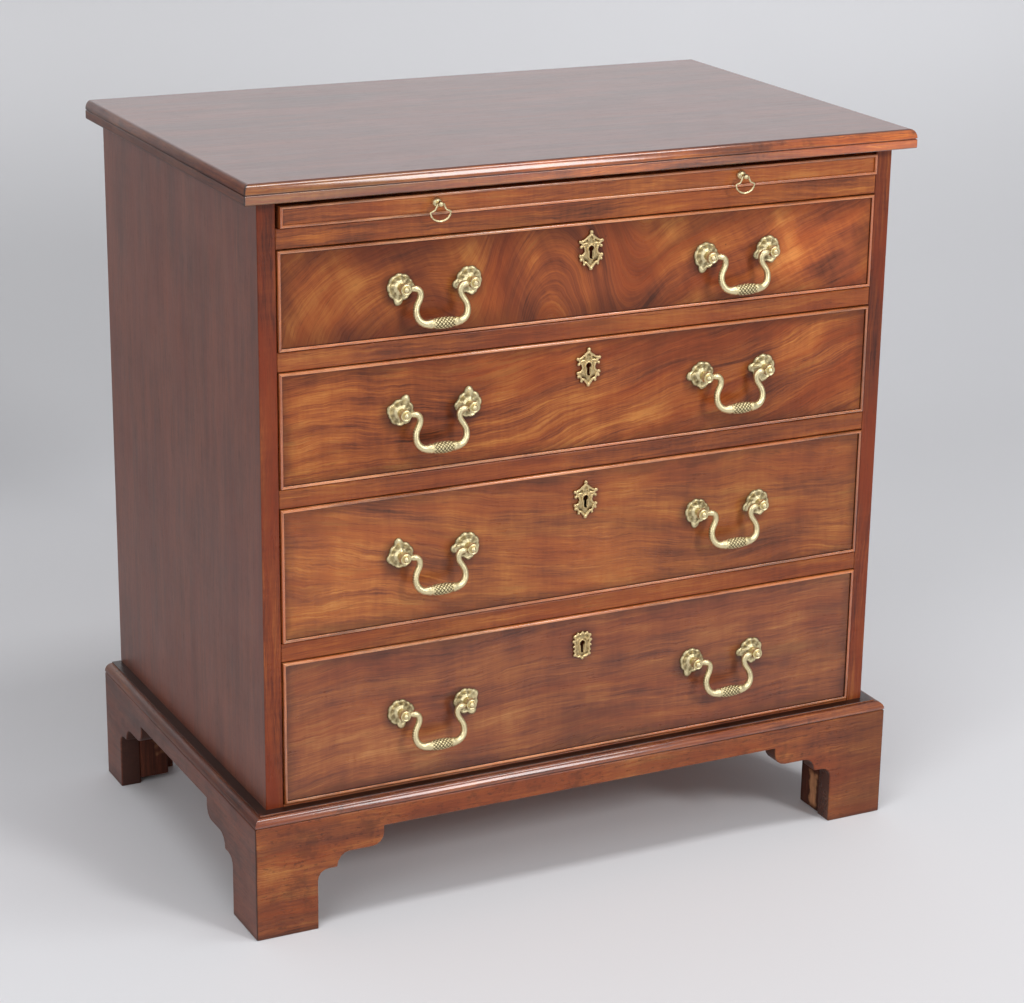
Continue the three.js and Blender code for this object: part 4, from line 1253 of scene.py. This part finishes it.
class CHEST_OT_escutcheons(bpy.types.Operator):
    """Cast key plates with scrolls and beads"""

    bl_idname = "chest.escutcheons"
    bl_label = "Escutcheons"

    # Across, up from the middle of a plate, and radius, in mm; what lies aside is cast twice
    tall_beads = (
        (0, 20.0, 2.1), (0, 16.8, 1.7), (13.0, 10.2, 1.8), (12.0, 4.6, 1.7), (12.6, -5.2, 1.9),
        (12.0, -9.2, 1.7), (8.2, -14.4, 1.5), (0, -19.0, 2.1)
    )
    tall_scrolls = (
        ((0, 17.5, 1.5), (3.2, 15.8, 1.6), (4.2, 12.8, 1.5), (2.4, 10.6, 1.3)),
        ((3.6, 15.0, 1.3), (6.6, 12.2, 1.3), (9.6, 10.2, 1.2), (12.8, 10.4, 1.4)),
        ((13.0, 10.0, 1.3), (9.8, 8.8, 1.4), (9.2, 5.8, 1.4), (12.0, 4.6, 1.3)),
        ((9.4, 7.2, 1.4), (6.0, 8.9, 1.5), (3.2, 8.0, 1.3), (3.9, 5.8, 1.1)),
        ((8.6, 5.4, 1.3), (7.0, 2.4, 1.3), (6.4, -0.8, 1.3), (8.4, -4.2, 1.4), (12.4, -5.2, 1.4)),
        ((12.4, -5.8, 1.4), (9.2, -7.2, 1.4), (9.4, -9.0, 1.4), (12.0, -9.2, 1.3)),
        ((9.6, -8.8, 1.3), (8.6, -11.4, 1.2), (7.6, -13.6, 1.2), (8.2, -14.6, 1.2)),
        ((7.4, -12.4, 1.3), (4.6, -12.0, 1.4), (3.4, -15.4, 1.5), (0, -18.8, 1.7))
    )
    round_beads = (
        (0, 14.6, 1.9), (5.6, 14.2, 1.6), (9.6, 11.2, 1.8), (10.8, 5.6, 1.5), (10.2, -0.4, 1.4),
        (9.4, -5.6, 1.4), (9.2, -10.6, 1.7), (4.6, -12.8, 1.5), (0, -15.0, 1.7)
    )
    round_scrolls = (
        ((0, 14.0, 1.4), (3.2, 12.8, 1.4), (6.0, 14.2, 1.3), (9.4, 11.4, 1.4)),
        ((9.4, 11.0, 1.4), (7.4, 8.6, 1.4), (8.2, 5.4, 1.4), (10.6, 5.2, 1.2)),
        ((9.6, 4.6, 1.2), (7.8, 1.2, 1.3), (7.6, -3.0, 1.3), (9.6, -6.0, 1.2)),
        ((9.2, -6.4, 1.2), (7.4, -8.0, 1.3), (9.4, -10.8, 1.3), (5.4, -12.4, 1.3)),
        ((5.0, -12.6, 1.3), (2.6, -12.0, 1.4), (0, -14.8, 1.5)),
        ((3.0, 9.4, 1.1), (5.6, 8.4, 1.2), (6.0, 5.4, 1.1))
    )

    def execute(self, context):
        metal = brass("plate_brass", (0.9, 0.8, 0.7), 0.7)
        for name in DRAWERS:
            node = f"{name}_escutcheon"
            low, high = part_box(node)
            middle = (low + high) / 2
            short = (high.z - low.z) < 38 * MM
            plate = copied(f"{name}_cast_plate", node)
            anchor = Matrix.Translation((middle.x, high.y, middle.z))
            shrink = Matrix.Diagonal((0.86, 0.6, 0.86, 1))
            plate.data.transform(anchor @ shrink @ anchor.inverted())
            self.cast(plate, middle, high.y, short)
            combined(plate, keyhole_tool(name))
            rub_high(plate, high.y - 0.8 * MM, 2.2)
            smooth(plate, 60)
            brasswork(plate, name, node, metal)
        return {"FINISHED"}

    def cast(self, plate, middle, face_y, short):
        """Fuses the plate, its scrolls and its beads into one casting with a flat back."""
        beads = self.round_beads if short else self.tall_beads
        scrolls = self.round_scrolls if short else self.tall_scrolls
        x, z, y = middle.x / MM, middle.z / MM, face_y / MM
        parts = []
        for across, up, radius in beads:
            for side in {1, -1} if across else {1}:
                parts.append(ball(x + side * across, y - 1.3, z + up, radius * 1.12))
        for scroll in scrolls:
            for side in (1, -1):
                stations = [
                    (x + side * across, y - 1.5, z + up, radius) for across, up, radius in scroll
                ]
                parts.append(tube(stations, 12, "scroll"))
        lip = self.key_lip(x, y, z + (2.7 if short else 2.2))
        joined(plate, *parts, lip)
        modified(plate, "REMESH", mode="VOXEL", voxel_size=0.34 * MM)
        modified(plate, "SMOOTH", factor=0.5, iterations=2)
        sliced(plate, face_y, clear_outer=True)

    def key_lip(self, x, y, z):
        """A raised rim round the keyhole."""
        across = (0, 3.2, 4.4, 3.6, 3.0, 3.2, 2.4, 0)
        up = (4.4, 3.2, 0, -2.6, -5.4, -8.6, -10.8, -11.4)
        half = list(zip(across, up))
        loop = half + [(-a, b) for a, b in half[-2:0:-1]] + [half[0]]
        return tube([(x + a, y - 2.0, z + b, 0.85) for a, b in loop], 10, "lip")


class CHEST_OT_slide_pulls(bpy.types.Operator):
    """Knobs and stirrup drops of the slide"""

    bl_idname = "chest.slide_pulls"
    bl_label = "Slide pulls"

    def execute(self, context):
        metal = brass("pull_brass")
        for side in SIDES:
            for part, body in (("knob", "brushing_slide"), ("drop", f"slide_drop_{side}")):
                node = f"slide_{part}_{side}"
                piece = copied(f"{node}_shown", node)
                rub(piece, lambda v: 0.8)
                smooth(piece, 60)
                brasswork(piece, body, node, metal)
        return {"FINISHED"}


class CHEST_OT_stage(bpy.types.Operator):
    """Paper backdrop, lamps and the camera of the photograph"""

    bl_idname = "chest.stage"
    bl_label = "Stage"

    camera_place = (-1361.99 * MM, -2775.56 * MM, 1398.96 * MM)
    camera_turn = (71.1667, -1.1887, -27.5379)
    camera_lens = 98.583
    camera_shift = (-0.06422, 0.02)

    def execute(self, context):
        _, colours = settings()
        self.make_paper(tuple(colours.backdrop))
        self.make_lamps()
        self.make_world()
        self.make_camera(context)
        context.scene.view_settings.view_transform = "Standard"
        return {"FINISHED"}

    def make_paper(self, shade):
        """A long sheet that lies under the chest and curves up behind it."""
        size, rise, curve = (14, 9, 1), 5, 1.6
        paper = sized(bpy.ops.mesh.primitive_plane_add, (0, -1.5, 0), size, "paper")
        edit_edges(paper, lambda first, second: first.y > 0 and second.y > 0)
        bpy.ops.mesh.extrude_region_move(TRANSFORM_OT_translate={"value": (0, 0, rise)})
        leave()
        bend = {"limit_method": "ANGLE", "angle_limit": math.radians(30)}
        modified(paper, "BEVEL", width=curve, segments=24, **bend)
        smooth(paper, 60)
        r = Recipe("paper")
        x, y, z = r.place()
        cloud = r.noise(r.point(x, y, z), 0.0011, detail=2)
        # Painted shade darkens the floor in a band behind the chest and, more on the left, further back
        # where the sheet curves up; painted light brightens the sheet to the right above the floor and
        # high up
        left = r.rise(y, 900, 1700) * r.rise(y, 2600, 2100) * r.rise(x, 1500, 200)
        near = r.rise(y, 0, 500) * r.rise(y, 1500, 900)
        right = r.rise(z, 60, 500) * r.rise(x, 200, 2200)
        high = r.rise(z, 900, 2600)
        paper_with_painted_light = r.blend(left, shade, dimmed(shade, 0.7))
        paper_with_painted_light = r.blend(near, paper_with_painted_light, dimmed(shade, 0.9))
        paper_with_painted_light = r.blend(right * 0.9, paper_with_painted_light, dimmed(shade, 1.28))
        paper_with_painted_light = r.blend(cloud * 0.3, paper_with_painted_light, dimmed(shade, 0.9))
        paper_with_painted_light = r.blend(high * 0.7, paper_with_painted_light, dimmed(shade, 1.2))
        paint(paper, r.surface(Base_Color=paper_with_painted_light, Roughness=0.9))

    def make_lamps(self):
        lamps = (
            # name, place, aim, width, height, watts
            ("key_lamp", (2.2, -4.9, 3.3), (0, 0, 0.4), 1.15, 1.15, 128),
            ("glint_lamp", (2.0, -4.9, 3.3), (0, 0, 0.4), 1.8, 3.4, 135),
            ("fill_lamp", (-3.2, -2.6, 2.4), (-0.3, 0, 0.2), 2.4, 2.4, 46),
            ("top_lamp", (0.1, -0.9, 3.2), (0.1, -0.2, 0), 3.3, 0.56, 38),
            ("sheen_lamp", (1.0, 2.4, 1.5), (1.0, 0, 1.5), 5.0, 1.8, 11.5),
        )
        for name, place, aim, width, height, watts in lamps:
            bpy.ops.object.light_add(type="AREA", location=place)
            lamp = bpy.context.object
            lamp.name = name
            lamp.data.shape = "RECTANGLE"
            lamp.data.size = width
            lamp.data.size_y = height
            lamp.data.energy = watts
            direction = Vector(aim) - Vector(place)
            lamp.rotation_euler = direction.to_track_quat("-Z", "Y").to_euler()
            lamp.visible_camera = False
            lamp.visible_diffuse = name not in ("sheen_lamp", "glint_lamp")
            lamp.visible_glossy = name != "key_lamp"

    def make_world(self):
        world = bpy.data.worlds.new("studio")
        bpy.context.scene.world = world
        world.use_nodes = True
        sky = world.node_tree.nodes["Background"]
        sky.inputs["Color"].default_value = (0.98, 0.99, 1.0, 1)
        sky.inputs["Strength"].default_value = 0.4

    def make_camera(self, context):
        bpy.ops.object.camera_add(
            location=self.camera_place,
            rotation=tuple(math.radians(angle) for angle in self.camera_turn)
        )
        camera = bpy.context.object
        camera.data.sensor_width = 36
        camera.data.lens = self.camera_lens
        camera.data.shift_x, camera.data.shift_y = self.camera_shift
        context.scene.camera = camera


class CHEST_PT_panel(bpy.types.Panel):
    bl_label = "Chest of drawers"
    bl_idname = "CHEST_PT_panel"
    bl_space_type = "VIEW_3D"
    bl_region_type = "UI"
    bl_category = "Chest"

    def draw(self, context):
        column = self.layout.column()
        for group in (context.scene.chest_sizes, context.scene.chest_colours):
            for key in group.bl_rna.properties.keys():
                if key not in ("rna_type", "name"):
                    column.prop(group, key)
        for operator in OPERATORS:
            column.operator(operator.bl_idname)


OPERATORS = (
    CHEST_OT_case, CHEST_OT_drawer_fronts, CHEST_OT_drawer_boxes, CHEST_OT_brushing_slide,
    CHEST_OT_roses, CHEST_OT_bails, CHEST_OT_escutcheons, CHEST_OT_slide_pulls, CHEST_OT_stage
)
CLASSES = (ChestSizes, ChestColours, *OPERATORS, CHEST_PT_panel)


def register():
    for item in CLASSES:
        bpy.utils.register_class(item)
    bpy.types.Scene.chest_sizes = bpy.props.PointerProperty(type=ChestSizes)
    bpy.types.Scene.chest_colours = bpy.props.PointerProperty(type=ChestColours)


def unregister():
    del bpy.types.Scene.chest_sizes
    del bpy.types.Scene.chest_colours
    for item in reversed(CLASSES):
        bpy.utils.unregister_class(item)


def main():
    register()
    woods.update(make_woods())
    for operator in OPERATORS:
        group, action = operator.bl_idname.split(".")
        getattr(getattr(bpy.ops, group), action)()


if __name__ == "__main__":
    main()
